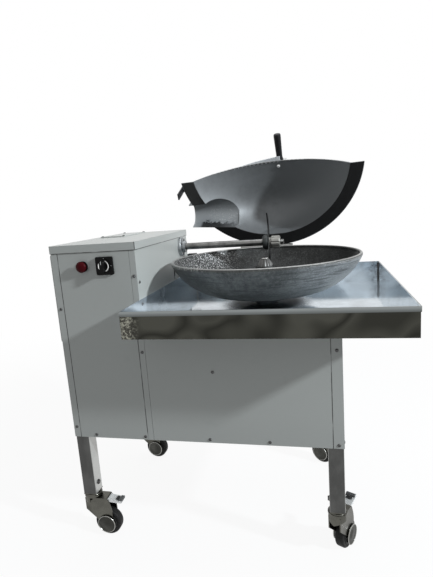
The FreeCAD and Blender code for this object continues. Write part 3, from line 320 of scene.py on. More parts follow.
def plastic(name, colour, rough=0.4, shine=0.2):
    """Moulded plastic with a fine texture and rubbed spots."""
    s = Shader(name)
    rubbed = s.fade(s.noise(0.02, 4.0, 0.6), 0.5, 0.75)
    shade = s.blend(rubbed * 0.35, colour, tuple(c * 1.6 + 0.002 for c in colour))
    return s.surface(shade, rough + rubbed * 0.12, specular_ior_level=shine,
                     bump=(s.noise(0.0012, 2.0), 0.00006, 0.4))


def rubber(name, colour, rough=0.7):
    """Matt black rubber with dust and scuffs."""
    s = Shader(name)
    dust = s.fade(s.noise(0.012, 5.0, 0.7), 0.5, 0.75)
    shade = s.blend(dust * 0.3, colour, (0.06, 0.06, 0.057))
    return s.surface(shade, rough + dust * 0.15, specular_ior_level=0.15,
                     bump=(s.noise(0.001, 2.0), 0.0001, 0.5))


def band_rubber(name):
    """Black rubber of the lid's band, greyer towards its left end."""
    s = Shader(name)
    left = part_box("lid_seal")[0].x
    dust = s.fade(s.noise(0.012, 5.0, 0.7), 0.5, 0.75)
    greyer_left = s.fade(s.axis("X") + dust * 0.01, left + 0.09, left + 0.03)
    shade = s.coats(grey(0.010), (dust * 0.2, (0.04, 0.04, 0.038)), (greyer_left * 0.8, (0.05, 0.05, 0.048)))
    return s.surface(shade, 0.7 + dust * 0.15, specular_ior_level=0.15, bump=(dust, 0.0002, 0.5))


def tyre_rubber(name, colour):
    """Black tyre with dust on its running face."""
    s = Shader(name)
    dust = s.fade(s.noise(0.006, 5.0, 0.7), 0.45, 0.7)
    low = s.fade(s.axis("Z"), 0.06, 0.0)
    shade = s.blend(dust * (0.15 + low * 0.2), colour, (0.08, 0.075, 0.07))
    return s.surface(shade, 0.55 + dust * 0.2, specular_ior_level=0.2, bump=(dust, 0.0002, 0.4))


def tray_sheet(name, inside, outside, rim_colour):
    """Folded stainless: satin inside, with a painted shadow round the bowl's foot; polished outside with dark
    painted reflections, darker towards its left end; a light hem round the rim, with painted shade at its
    lower edge.
    """
    s = Shader(name)
    x, y, z = s.axis("X"), s.axis("Y"), s.axis("Z")
    skin = 1.2 * MM
    faces = ((y < tray_low.y + 2 * skin) + (x > tray_high.x - 2 * skin) + (y > tray_high.y - 2 * skin)
             + (z < tray_low.z + skin / 2))
    outer = s.fade(faces, 0.2, 0.6)
    cloud = s.noise(0.045, 4.0, 0.6)
    scratches = s.noise(0.0012, 2.0, 0.6, (0.03, 1, 1))
    # Painted reflections: dark banded tones of the outside colour over the polished faces.
    reflection_bands = ((0.34, 0.5), (0.45, 0.85), (0.52, 0.4), (0.62, 0.95))
    stops = [(spot, tone(outside, share)) for spot, share in reflection_bands]
    painted_reflection = s.node("ValToRGB", {"stops": stops}, {0: s.noise(0.13, 1.0, 0.4, (1, 1, 1.2))})
    # Painted shadow: near black on the floor round the bowl's foot.
    painted_shade = s.fade(s.from_axis(bowl_axis) + cloud * 0.04, 0.17, 0.10) * s.fade(z, tray_high.z, tray_low.z)
    floor = s.coats(inside, (s.fade(cloud, 0.35, 0.7), 0.8), (scratches * 0.2, 0.6),
                    (painted_shade * 0.92, (0.012, 0.013, 0.013)), (heat_marks(s) * 0.75, (0.10, 0.085, 0.08)))
    # Darker towards the left end of the outside faces, with pale specks there.
    left_end_dark = s.fade(x + cloud * 0.03, tray_low.x + 0.065, tray_low.x + 0.03) * outer
    left_end_specks = s.fade(s.noise(0.006, 5.0, 0.8), 0.47, 0.62)
    rim = s.fade(z, tray_high.z - 0.0125, tray_high.z - 0.0105) * outer
    # Painted shade: the hem darkens towards its lower edge.
    hem = s.blend(s.fade(z, tray_high.z - 0.011, tray_high.z - 0.001), tone(rim_colour, 0.5), rim_colour)
    shade = s.coats(floor, (outer, painted_reflection), (left_end_dark * 0.5, (0.05, 0.05, 0.043)),
                    (left_end_dark * left_end_specks * 0.8, (0.36, 0.36, 0.30)), (rim, hem))
    shine = 0.05 + cloud * 0.07 + outer * 0.09 + rim * 0.15 + painted_shade * 0.3
    return s.surface(shade, shine, metallic=0.68 + outer * 0.32, bump=(scratches, 0.00004, 0.3))


def heat_marks(s):
    """Dark weld colour round the tray's upright inside corners."""
    near = [s.fade(s.from_axis(at(x, y, 0)), 0.05, 0.006)
            for x in (tray_low.x, tray_high.x) for y in (tray_low.y, tray_high.y)]
    return reduce(add, near) * s.fade(s.noise(0.010, 5.0, 0.75), 0.40, 0.62)


def bowl_metal(name, inside, outside):
    """Worn cast aluminium: mottled, pitted, with turned rings; painted shade inside and on the left of the
    outside, painted highlights inside, painted light on the right of the outside, and a rubbed rim with a
    painted highlight.
    """
    s = Shader(name)
    x = s.axis("X")
    rim_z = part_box("bowl")[1].z
    mottle = s.noise(0.012, 5.0, 0.7)
    patch = s.noise(0.09, 4.0, 0.6)
    pits_and_glints = s.fade(s.noise(0.0045, 5.0, 0.75), 0.51, 0.62)
    streaks = s.fade(s.noise(0.05, 4.0, 0.6, (0.4, 0.4, 9.0)), 0.50, 0.62)
    up = s.fade(s.facing("Z"), -0.05, 0.05)
    down = 1.0 - up
    # Painted shade: faces that look up, the inside of the bowl, take the much darker inside colour.
    clean = s.blend(up, outside, inside)
    dark = s.blend(up, tone(outside, 0.5), tone(inside, 0.45))
    # Painted shade, with brown staining, on the left of the outside.
    painted_shade = s.fade(x, bowl_axis.x - 0.10, bowl_axis.x - 0.26) * down
    # Painted highlights inside: a patch on the left and one on the right, where pale pitting makes painted
    # glints.
    painted_gleam = s.fade(s.from_axis(bowl_axis + at(0.22, 0.03, 0)), 0.06, 0.02)
    painted_inside_highlights = (s.fade(x, bowl_axis.x - 0.10, bowl_axis.x - 0.22) + painted_gleam) * up
    # Painted light: the right of the outside is lightened, with pitting in it.
    rubbed = s.fade(x, bowl_axis.x + 0.05, bowl_axis.x + 0.24) * down
    # A rubbed rim, lightened also as a painted highlight along the top edge.
    rim = s.fade(s.axis("Z"), rim_z - 0.0030, rim_z - 0.0014)
    shade = s.coats(dark, (s.fade(mottle * 0.5 + patch * 0.5, 0.40, 0.60), clean),
                    (painted_shade * patch * 0.8, (0.05, 0.042, 0.03)), (painted_inside_highlights * patch * 0.25, grey(0.30)),
                    (pits_and_glints * (0.04 + painted_inside_highlights * 0.9), (0.95, 0.95, 0.94)),
                    (rubbed * (0.45 + pits_and_glints * 0.5), (0.62, 0.65, 0.67)), (rim, (0.30, 0.30, 0.29)),
                    (streaks * down * 0.6, (0.055, 0.057, 0.055)))
    height = mottle * 0.8 + s.rings(s.from_axis(bowl_axis), 1900.0) * 0.05 + pits_and_glints * 0.4
    return s.surface(shade, 0.36 + mottle * 0.2 - rim * 0.1, metallic=0.6, bump=(height, 0.0009, 0.6))


def lid_sheet(name, colour, bright):
    """Pressed stainless with soft clouds; painted light, painted glints and a painted dark shadow in the
    hood, and painted shade towards the right.
    """
    s = Shader(name)
    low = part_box("lid_shell")[0]
    x, z = s.axis("X"), s.axis("Z")
    fine = s.noise(0.0015, 2.0, 0.6, (1, 1, 0.04))
    cloud = s.noise(0.03, 5.0, 0.65)
    broad = s.noise(0.16, 2.0, 0.5)
    # Painted light: the inside of the hood is lightened.
    hood = s.fade(x, low.x + 0.22, low.x + 0.10) * s.fade(z, low.z + 0.18, low.z + 0.10)
    # Painted glints in the hood.
    painted_glints = s.fade(s.noise(0.006, 5.0, 0.75), 0.52, 0.66) * s.fade(x, low.x + 0.05, low.x + 0.09)
    slant = (x - low.x - 0.05) * 0.127
    # Painted shadow: a near black band low in the hood.
    painted_gap_shadow = s.fade(z + s.noise(0.014, 5.0, 0.8) * 0.06 + slant, low.z + 0.132, low.z + 0.126)
    painted_gap_shadow = painted_gap_shadow * s.fade(x, low.x + 0.034, low.x + 0.046)
    # Painted shade: the sheet is darker to the right.
    shade = s.coats(colour, (s.fade(broad * 0.6 + cloud * 0.4, 0.35, 0.7), 0.72),
                    (hood, tone(colour, 1.7)), (s.fade(x, low.x + 0.30, low.x + 0.36), 0.86),
                    (hood * painted_glints * 0.6, bright), (painted_gap_shadow * hood * 0.95, grey(0.012)))
    return s.surface(shade, 0.46 + cloud * 0.14, metallic=0.35, bump=(fine * 0.4 + cloud * 0.6, 0.0004, 0.25))


def turned_metal(name, colour, centre, letters, rough=0.22):
    """Metal turned on a lathe, with rings round its axis."""
    s = Shader(name)
    rings = s.rings(s.from_axis(centre, letters), 5200.0)
    along = s.noise(0.0012, 2.0, 0.5)
    smear = s.noise(0.025, 4.0, 0.6)
    shade = s.blend(s.fade(smear, 0.4, 0.7), colour, tone(colour, 0.55))
    return s.surface(shade, rough + smear * 0.15, metallic=1.0,
                     bump=(rings * 0.3 + along * 0.4, 0.00006, 0.4))


def plain(name, colour, rough=0.5, metallic=0.0):
    """A finish that is the same all over, for pieces a few millimetres across."""
    return Shader(name).surface(colour, rough, metallic=metallic)


# Shape building


def mesh_of(node):
    """The mesh of a CAD node."""
    return frame["nodes"][node].data


def smooth(mesh, degrees):
    """Shade a mesh smooth, but for edges sharper than an angle."""
    mesh.shade_smooth()
    mesh.set_sharp_from_angle(angle=math.radians(degrees))


class Form:
    """A mesh gathered from shapes in the machine's frame."""

    def __init__(self):
        self.mesh = bmesh.new()

    def _join(self, part, matrix):
        part.transform(matrix)
        data = bpy.data.meshes.new("part")
        part.to_mesh(data)
        part.free()
        self.mesh.from_mesh(data)
        bpy.data.meshes.remove(data)
        return self

    def _stand(self, part, place, direction):
        turn = Z.rotation_difference(direction).to_matrix().to_4x4()
        return self._join(part, Matrix.Translation(place) @ turn)

    def turned(self, profile, place, direction=Z, steps=48):
        """Spin a profile of (radius, height) points in metres round a direction."""
        part = bmesh.new()
        verts = [part.verts.new((radius, 0, height)) for radius, height in profile]
        edges = [part.edges.new(pair) for pair in zip(verts, verts[1:])]
        bmesh.ops.spin(part, geom=verts + edges, cent=(0, 0, 0), axis=(0, 0, 1), dvec=(0, 0, 0),
                       angle=2 * math.pi, steps=steps, use_merge=True)
        bmesh.ops.remove_doubles(part, verts=part.verts, dist=1e-6)
        bmesh.ops.recalc_face_normals(part, faces=part.faces)
        return self._stand(part, place, direction)

    def block(self, low, high, round_off=0.0, matrix=None):
        """A box between two corners, with its edges rounded."""
        part = bmesh.new()
        place = Matrix.Translation((low + high) / 2) @ Matrix.Diagonal((*(high - low), 1.0))
        bmesh.ops.create_cube(part, size=1.0, matrix=place)
        if round_off:
            bmesh.ops.bevel(part, geom=part.edges[:], offset=round_off, segments=3, profile=0.6,
                            affect="EDGES")
        return self._join(part, matrix or Matrix.Identity(4))

    def hexagon(self, radius, height, place, direction, round_off):
        """A bolt head with six sides, its sizes in millimetres."""
        part = bmesh.new()
        radius, height = radius * MM, height * MM
        bmesh.ops.create_cone(part, cap_ends=True, segments=6, radius1=radius, radius2=radius, depth=height,
                              matrix=Matrix.Translation((0, 0, height / 2)))
        top = [e for e in part.edges if all(v.co.z > height * 0.99 for v in e.verts)]
        bmesh.ops.bevel(part, geom=top, offset=round_off * MM, segments=2, profile=0.5, affect="EDGES")
        return self._stand(part, place, direction)

    def loft(self, rings):
        """A skin over a row of rings of places, closed at both ends."""
        part = bmesh.new()
        rows = [[part.verts.new(place) for place in ring] for ring in rings]
        for first, second in zip(rows, rows[1:]):
            for k in range(len(first)):
                after = (k + 1) % len(first)
                part.faces.new((first[k], first[after], second[after], second[k]))
        part.faces.new(rows[0])
        part.faces.new(rows[-1])
        bmesh.ops.recalc_face_normals(part, faces=part.faces)
        return self._join(part, Matrix.Identity(4))

    def rod(self, points, radius, sides=10):
        """A round bar through a row of points."""
        rings = []
        for i, point in enumerate(points):
            along = (points[min(i + 1, len(points) - 1)] - points[max(i - 1, 0)]).normalized()
            across = along.cross(Z if abs(along.z) < 0.9 else X).normalized()
            other = along.cross(across)
            rings.append([point + radius * (math.cos(a) * across + math.sin(a) * other)
                          for a in (2 * math.pi * k / sides for k in range(sides))])
        return self.loft(rings)

    def done(self, name, material, body, slot, matrix=None, replaces=()):
        """Make the object, with its finish, riding on a body."""
        if matrix is not None:
            self.mesh.transform(matrix)
        data = bpy.data.meshes.new(name)
        self.mesh.to_mesh(data)
        self.mesh.free()
        data.materials.append(material)
        made = bpy.data.objects.new(name, data)
        bpy.context.scene.collection.objects.link(made)
        smooth(data, 40)
        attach(made, body)
        if replaces:
            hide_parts(*replaces)


def dress(nodes, material, soften=0.0):
    """Give CAD nodes their finish, and soften their edges by some millimetres."""
    for name in nodes.split():
        shown = frame["nodes"][name]
        shown.data.materials.clear()
        shown.data.materials.append(material)
        if soften:
            bevel = shown.modifiers.new("soft_edges", "BEVEL")
            bevel.width = soften * MM
            bevel.segments = 2
            bevel.limit_method = "ANGLE"
            bevel.angle_limit = math.radians(50)
            bevel.harden_normals = True


def islands(node):
    """The vertex places of each separate solid in a node."""
    mesh = bmesh.new()
    mesh.from_mesh(mesh_of(node))
    bmesh.ops.remove_doubles(mesh, verts=mesh.verts, dist=1e-6)
    left = set(mesh.verts)
    groups = []
    while left:
        queue, group = [left.pop()], []
        while queue:
            vert = queue.pop()
            group.append(vert.co.copy())
            near = {edge.other_vert(vert) for edge in vert.link_edges} & left
            left -= near
            queue += near
        groups.append(group)
    mesh.free()
    return groups


def swing():
    """The matrix that opens the closed lid."""
    turn = Matrix.Rotation(-math.radians(lid_open_angle), 4, "X")
    return Matrix.Translation(hinge_axis) @ turn @ Matrix.Translation(-hinge_axis)


def lid_places(node, frame_of_lid):
    """The vertex places of a lid node in a frame of the lid."""
    back = frame_of_lid.inverted()
    return [back @ vert.co for vert in mesh_of(node).vertices]


def square_lid():
    """The closed lid's frame in which its askew front edge is square to the machine."""
    places = lid_places("lid_seal", swing())
    left = min((p for p in places if p.x < bowl_axis.x), key=lambda p: p.y)
    right = min((p for p in places if p.x > bowl_axis.x), key=lambda p: p.y)
    skew = Matrix.Rotation(math.atan2(right.y - left.y, right.x - left.x), 4, "Z")
    return swing() @ Matrix.Translation(bowl_axis) @ skew @ Matrix.Translation(-bowl_axis)


def lid_box(node, frame_of_lid):
    """The box of a lid node in a frame of the lid."""
    return corners(lid_places(node, frame_of_lid))


def front_arch(square):
    """Places along the outside of the lid's front arch, from left to right."""
    places = lid_places("lid_shell", square)
    front = min(p.y for p in places)
    plate = lid_box("lid_seal", square)[1].z
    spacing = 4 * MM
    arch = sorted((p for p in places if p.y < front + 0.3 * MM and p.z > plate + spacing), key=lambda p: p.x)
    row = []
    for place in arch:
        if not row or place.x - row[-1].x >= spacing:
            row.append(place)
        elif place.z > row[-1].z:
            row[-1] = place
    return row


# The sizes and colours that a user would change


def tint(name, description, *default):
    """A colour."""
    return FloatVectorProperty(name=name, description=description, subtype="COLOR", default=default,
                               min=0.0, max=1.0)


def length(name, description, default):
    """A length, with its default in millimetres."""
    return FloatProperty(name=name, description=description, unit="LENGTH", default=default * MM)


class CasingLooks(PropertyGroup):
    """Paint and small hardware of the casing."""

    paint: tint("Paint", "Colour of the panels", 0.435, 0.447, 0.425)
    edge: length("Edge", "Rounding of the sheet edges", 0.5)
    screw_radius: length("Screw radius", "Radius of a panel screw's head", 4.4)
    screw_steel: tint("Screw steel", "Colour of the panel screws", 0.09, 0.09, 0.09)
    middle_screw: length("Middle screw", "How far the lone screw sits left of the middle", 60)
    middle_screw_height: length("Middle screw height", "Height of the lone screw", 201)
    # The legs' lit side colour; their front and back faces get a painted dark copy of it.
    leg_steel: tint("Leg steel", "Colour of the legs", 0.52, 0.52, 0.50)


class TrayLooks(PropertyGroup):
    """Finish of the tray and its welds."""

    inside: tint("Inside", "Colour of the tray's inside", 0.72, 0.80, 0.86)
    # The polished outside's colour is set dark as a painted reflection.
    outside: tint("Outside", "Colour of the tray's polished outside", 0.066, 0.066, 0.056)
    rim: tint("Rim", "Colour of the hem round the tray", 0.26, 0.28, 0.28)
    weld: length("Weld", "Radius of the corner welds", 2.2)


class BowlLooks(PropertyGroup):
    """Finish of the bowl and the nut on its hub."""

    # The bowl's inside colour is painted shade in its hollow.
    inside: tint("Inside", "Colour of the bowl's inside", 0.034, 0.036, 0.035)
    outside: tint("Outside", "Colour of the bowl's outside", 0.17, 0.175, 0.17)
    ribs: IntProperty(name="Ribs", description="Ribs round the hub nut", default=12, min=3)
    rib_depth: length("Rib depth", "How far the ribs stand out", 2.2)


class LidLooks(PropertyGroup):
    """Finish of the lid, its edge and its handle."""

    sheet: tint("Sheet", "Colour of the pressed lid", 0.19, 0.20, 0.205)
    # The colour of the painted glints in the hood.
    bright: tint("Glints", "Colour of the rubbed spots in the hood", 0.66, 0.66, 0.64)
    edge: length("Edge", "Radius of the rolled front edge", 1.8)
    lip: length("Lip", "How far the handle bar's lip stands out", 16)
    lip_start: length("Lip start", "How far the lip reaches past the bar", 45)


class KnifeLooks(PropertyGroup):
    """Finish of the knife shaft, the knives and their nut."""

    steel: tint("Shaft steel", "Colour of the shaft", 0.20, 0.20, 0.195)
    blade: tint("Blade steel", "Colour of the knives", 0.07, 0.075, 0.075)
    nut: tint("Nut", "Colour of the clamp nut", 0.34, 0.335, 0.31)
    grind: length("Grind", "Width of the ground edge", 1.2)


class ControlLooks(PropertyGroup):
    """Finish of the push button and the cam switch."""

    red: tint("Button", "Colour of the push button", 0.050, 0.001, 0.003)
    black: tint("Switch", "Colour of the cam switch", 0.004, 0.004, 0.004)
    silver: tint("Ring", "Colour of the switch ring", 0.85, 0.86, 0.85)


class CasterLooks(PropertyGroup):
    """Finish of the casters."""

    zinc: tint("Zinc", "Colour of the forks", 0.13, 0.128, 0.112)
    core: tint("Core", "Colour of the wheel cores", 0.045, 0.045, 0.043)
    rubber: tint("Tyre", "Colour of the tyres", 0.010, 0.010, 0.010)


class StageLooks(PropertyGroup):
    """Lamps, floor and camera."""

    daylight: FloatProperty(name="Daylight", description="Power of the lamp low at the right", unit="POWER",
                            default=200.0)
    overhead: FloatProperty(name="Overhead", description="Power of the wide lamp overhead", unit="POWER",
                            default=26.0)
    fill: FloatProperty(name="Fill", description="Brightness of the room light", default=0.33)
    whiteness: FloatProperty(name="Whiteness", description="How far the floor hides the shadow on it",
                             subtype="FACTOR", default=0.92, min=0.0, max=1.0)
    lens: FloatProperty(name="Lens", description="Lens of the camera", unit="CAMERA", default=28.27)


GROUPS = {
    "cutter_casing": CasingLooks,
    "cutter_tray": TrayLooks,
    "cutter_bowl": BowlLooks,
    "cutter_lid": LidLooks,
    "cutter_knives": KnifeLooks,
    "cutter_controls": ControlLooks,
    "cutter_casters": CasterLooks,
    "cutter_stage": StageLooks,
}


# The pieces


class CUTTER_OT_casing(Operator):
    """Paint the panels and covers"""

    bl_idname = "cutter.casing"
    bl_label = "Casing"

    def execute(self, context):
        looks = context.scene.cutter_casing
        paint = powder_coat("pale_paint", looks.paint)
        dress("left_panel side_cover column_front_panel column_right_panel rear_panels top_cover top_hatch "
              "cabinet_front_panel cabinet_right_panel bottom_panel", paint, looks.edge / MM)
        return {"FINISHED"}


def screw_stand(places):
    """The middle of a screw's foot and the way its head points."""
    low, high = corners(places)
    middle, size = (low + high) / 2, high - low
    thin = min(range(3), key=lambda i: size[i])

    def spread(level):
        return max((p - middle).length for p in places if abs(p[thin] - level) < 0.01 * MM)

    foot_is_low = spread(low[thin]) > spread(high[thin])
    foot = middle.copy()
    foot[thin] = low[thin] if foot_is_low else high[thin]
    out = (X, Y, Z)[thin] * (1.0 if foot_is_low else -1.0)
    return foot, out


class CUTTER_OT_screws(Operator):
    """Put a domed socket screw in each place where the frame has a panel screw"""

    bl_idname = "cutter.screws"
    bl_label = "Panel screws"

    def execute(self, context):
        looks = context.scene.cutter_casing
        radius = looks.screw_radius
        low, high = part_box("cabinet_front_panel")
        lone = at((low.x + high.x) / 2 - looks.middle_screw, low.y, low.z + looks.middle_screw_height)
        socket = mm((0, 0.9), (1.9, 0.9), (2.1, 2.1))
        dome = [(0.6 * radius, 1.9 * MM), (0.85 * radius, 1.4 * MM), (radius, 0.5 * MM), (radius, 0.0)]
        heads = Form()
        for foot, out in [screw_stand(places) for places in islands("panel_screws")] + [(lone, -Y)]:
            heads.turned(socket + dome, foot, out, 20)
        steel = plain("screw_steel", looks.screw_steel, 0.38, 1.0)
        heads.done("screw_heads", steel, "frame", "screws", replaces=["panel_screws"])
        return {"FINISHED"}


class CUTTER_OT_frame(Operator):
    """Finish the legs and rails, and bolt the caster stems in the legs"""

    bl_idname = "cutter.frame"
    bl_label = "Frame"

    def execute(self, context):
        dress("leg_posts", legs_with_painted_shade("leg_steel", context.scene.cutter_casing.leg_steel))
        dress("cabinet_rails column_rails motor_plate", cast_metal("rail_primer", (0.20, 0.21, 0.22)))
        above_leg_end = 28 * MM
        middle = sum(corner.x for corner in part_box("leg_posts")) / 2
        washer = mm((0, 1.2), (7.5, 1.2), (7.5, 0))
        bolts = Form()
        for places in islands("leg_posts"):
            low, high = corners(places)
            inward, side = (X, high.x) if low.x < middle else (-X, low.x)
            spot = at(side, (low.y + high.y) / 2, low.z + above_leg_end)
            bolts.turned(washer, spot, inward, 24).hexagon(6.0, 4.6, spot, inward, 0.6)
        bolts.done("leg_bolts", plain("bolt_steel", grey(0.10), 0.4, 1.0), "frame", "screws")
        return {"FINISHED"}


def weld_ripple(foot, height):
    """Places up a weld that wanders a little, as a hand laid bead does."""
    steps, sway = 24, 0.3 * MM
    return [foot + at(sway * math.sin(2.1 * k), sway * math.cos(1.7 * k), height * k / steps)
            for k in range(steps + 1)]


class CUTTER_OT_tray(Operator):
    """Finish the tray and lay the weld in its corners"""

    bl_idname = "cutter.tray"
    bl_label = "Tray"

    def execute(self, context):
        looks = context.scene.cutter_tray
        dress("tray", tray_sheet("tray_sheet", looks.inside, looks.outside, looks.rim), 0.4)
        sheet, wall, below_rim = 1.5 * MM, 3.0 * MM, 4 * MM
        inset = looks.weld * 0.6
        floor = tray_low.z + sheet
        beads = Form()
        for x in (tray_low.x + sheet + inset, tray_high.x - wall - inset):
            for y in (tray_low.y + wall + inset, tray_high.y - wall - inset):
                beads.rod(weld_ripple(at(x, y, floor), tray_high.z - below_rim - floor), looks.weld)
        bead = cast_metal("weld_bead", (0.20, 0.19, 0.18), 0.003, 0.35, 1.0)
        beads.done("tray_welds", bead, "frame", "tray_steel")
        return {"FINISHED"}


def hub_nut(looks):
    """A conical nut with ribs down its side, and a bright rubbed cap on it."""
    low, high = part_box("hub_nut")
    foot, top = at(bowl_axis.x, bowl_axis.y, low.z), at(bowl_axis.x, bowl_axis.y, high.z)
    height, wide = high.z - low.z, (high.x - low.x) / 2
    turns = looks.ribs * 8
    rings = []
    for share, size, ribbed in ((0.00, 1.00, 1.0), (0.12, 0.97, 1.0), (0.40, 0.84, 1.0), (0.70, 0.66, 0.8),
                                (0.92, 0.50, 0.4), (1.00, 0.42, 0.0)):
        ring = []
        for k in range(turns):
            angle = 2 * math.pi * k / turns
            wave = 0.5 - 0.5 * math.cos(looks.ribs * angle)
            radius = wide * size - looks.rib_depth * ribbed * wave ** 2
            ring.append(foot + compass(angle) * radius + Z * height * share)
        rings.append(ring)
    metal = turned_metal("hub_metal", (0.11, 0.11, 0.107), bowl_axis, "XY", 0.42)
    Form().loft(rings).done("hub_dome", metal, "bowl", "hub_metal", replaces=["hub_nut"])
    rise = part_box("bowl_spindle")[1].z - high.z
    side = 9.6 * MM
    cap = Form().turned([(0.0, rise), (5.5 * MM, rise * 0.95), (8.6 * MM, rise * 0.55), (side, 0.0),
                         (side, -1.0 * MM)], top, Z, 32)
    cap.done("hub_cap", plain("bright_cap", (0.80, 0.80, 0.78), 0.16, 1.0), "bowl", "bright_steel")


class CUTTER_OT_bowl(Operator):
    """Finish the bowl and make its ribbed hub nut"""

    bl_idname = "cutter.bowl"
    bl_label = "Bowl"

    def execute(self, context):
        looks = context.scene.cutter_bowl
        dress("bowl", bowl_metal("bowl_metal", looks.inside, looks.outside))
        smooth(mesh_of("bowl"), 35)
        # Painted shade: the spindle is made near black, so the gap under the bowl reads dark.
        dress("bowl_spindle", turned_metal("spindle_painted_shade", grey(0.05), bowl_axis, "XY", 0.45))
        hub_nut(looks)
        return {"FINISHED"}


def roll_front_edge(looks, square):
    """A rolled wire edge that follows the front arch of the sheet."""
    row = [place + at(0, looks.edge * 0.6, -1.0 * MM) for place in front_arch(square)]
    edge = brushed_metal("edge_steel", (0.30, 0.31, 0.31), 0.7, 0.25, (0.05, 1, 1))
    Form().rod(row, looks.edge).done("lid_front_edge", edge, "lid", "lid_metal", square)


def band_screws(square):
    """Low screws along the rim that hold the rubber band, clear of the hood and the hinge."""
    low, high = lid_box("lid_shell", square)
    level = lid_box("lid_seal", square)[1].z + 2.0 * MM
    centre = at(bowl_axis.x, bowl_axis.y, level)
    radius = (high.x - low.x) / 2 - 18 * MM
    head = mm((0, 2.4), (2.4, 2.1), (4.0, 0.8), (4.2, 0))
    screws = Form()
    count, from_end = 9, 16
    for k in range(count):
        angle = math.radians(from_end + (180 - 2 * from_end) * k / (count - 1))
        spot = centre + compass(angle) * radius
        by_hood = spot.x < low.x + 0.16 and spot.y > shaft_axis.y - 0.05
        by_hinge = abs(spot.x - hinge_axis.x) < 0.11 and spot.y > shaft_axis.y
        if not by_hood and not by_hinge:
            screws.turned(head, spot, Z, 20)
    screws.done("band_screws", plain("band_screw_steel", grey(0.30), 0.3, 1.0), "lid", "screws", square)


class CUTTER_OT_lid(Operator):
    """Finish the lid and its rubber band, roll its front edge and fasten the band"""

    bl_idname = "cutter.lid"
    bl_label = "Lid"

    def execute(self, context):
        looks = context.scene.cutter_lid
        dress("lid_shell", lid_sheet("lid_sheet", looks.sheet, looks.bright))
        smooth(mesh_of("lid_shell"), 75)
        dress("lid_seal", band_rubber("seal_rubber"), 0.5)
        dress("interlock_tab", plastic("tab_black", (0.020, 0.020, 0.021), 0.35), 0.6)
        square = square_lid()
        roll_front_edge(looks, square)
        band_screws(square)
        return {"FINISHED"}


def handle_bolts(square, foot):
    """The bolt that holds the grip, and the one through the bar's foot and the lid."""
    bar_sheet, washer = 4 * MM, 1.2 * MM
    behind = foot + Y * bar_sheet
    bolt = Form().turned([(0.0, washer), (9.5 * MM, washer), (9.5 * MM, 0.0)], behind, Y, 28)
    bolt.hexagon(7.2, 5.0, behind + Y * washer, Y, 0.8)
    crown = max(p.z for p in lid_places("lid_shell", square) if p.y < foot.y + 14 * MM)
    spot = at(bowl_axis.x + 24 * MM, foot.y + 15 * MM, crown)
    bolt.turned(mm((0, 4.0), (3.0, 3.7), (5.4, 2.0), (5.8, -0.5)), spot - Z * 2.2 * MM, -Z, 24)
    bolt.hexagon(5.2, 4.0, spot + Z * 6.0 * MM, Z, 0.6)
    steel = plain("handle_bolt_steel", (0.80, 0.80, 0.79), 0.3, 0.6)
    bolt.done("handle_bolts", steel, "lid", "bright_steel", square)


def handle_lip(looks, square, foot, bar_left):
    """The bar's lip, which lies on the sheet and stands out over its front edge."""
    sheet, gap, inset, past_grip = 3 * MM, 0.4 * MM, 2 * MM, 6 * MM
    start = bar_left - looks.lip_start
    rings = []
    for place in front_arch(square):
        if start < place.x < foot.x + past_grip:
            reach = min(1.0, (place.x - start) / (foot.x - start))
            ahead = place.y + inset - looks.lip * reach
            low = place.z + gap
            rings.append([at(place.x, y, z) for y, z in (
                (ahead, low), (foot.y, low), (foot.y, low + sheet), (ahead, low + sheet))])
    # Painted light: the lip is made much lighter than the bar steel it belongs to.
    steel = plain("lip_painted_light", (0.86, 0.88, 0.90), 0.35, 0.3)
    Form().loft(rings).done("handle_lip", steel, "lid", "lid_metal", square)


class CUTTER_OT_handle(Operator):
    """Make the grip and finish the bar that carries it"""

    bl_idname = "cutter.handle"
    bl_label = "Lid handle"

    def execute(self, context):
        dress("handle_bar", brushed_metal("bar_steel", (0.45, 0.46, 0.46), 0.7, 0.24, (0.04, 1, 1)), 0.5)
        square = square_lid()
        low, high = lid_box("lid_handle", square)
        bar = lid_box("handle_bar", square)[0]
        radius = (high.x - low.x) / 2
        foot = at((low.x + high.x) / 2, bar.y, high.z - radius)
        end = bar.y - low.y
        profile = [(radius * wide, along) for wide, along in (
            (0.0, 0.0), (1.0, 0.0), (1.0, 4 * MM), (0.86, 10 * MM), (0.84, 16 * MM), (0.98, end - 10 * MM),
            (0.97, end - 5 * MM), (0.88, end - 1.6 * MM), (0.55, end), (0.0, end))]
        black = plastic("grip_black", (0.004, 0.004, 0.005), 0.5)
        Form().turned(profile, foot, -Y, 40).done("handle_grip", black, "lid", "black_plastic", square,
                                                  replaces=["lid_handle"])
        handle_bolts(square, foot)
        handle_lip(context.scene.cutter_lid, square, foot, bar.x)
        return {"FINISHED"}


def foot_bolts(beam_low, beam_high, bright):
    """The four bolts of the beam's foot on the rear panel."""
    foot_plate, foot_middle, spread = 6 * MM, 22 * MM, 16 * MM
    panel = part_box("rear_panels")[1].y
    middle = at(beam_low.x + foot_middle, panel + foot_plate, (beam_low.z + beam_high.z) / 2)
    bolts = Form()
    for dx in (-spread, spread):
        for dz in (-spread, spread):
            bolts.hexagon(4.6, 3.4, middle + at(dx, 0, dz), Y, 0.5)
    bolts.done("beam_foot_bolts", bright, "frame", "screws")


def hinge_welds():
    """Beads along both sides of the bracket's foot on the beam."""
    low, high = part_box("hinge_bracket")
    steps, inset = 40, 0.4 * MM
    beads = Form()
    for y in (low.y + inset, high.y - inset):
        row = [at(low.x + (high.x - low.x) * k / steps, y, low.z + (0.2 + 0.25 * math.sin(1.9 * k)) * MM)
               for k in range(1, steps)]
        beads.rod(row, 1.3 * MM, 8)
    bead = cast_metal("hinge_weld", (0.22, 0.21, 0.19), 0.003, 0.35, 1.0)
    beads.done("hinge_welds", bead, "frame", "stainless")


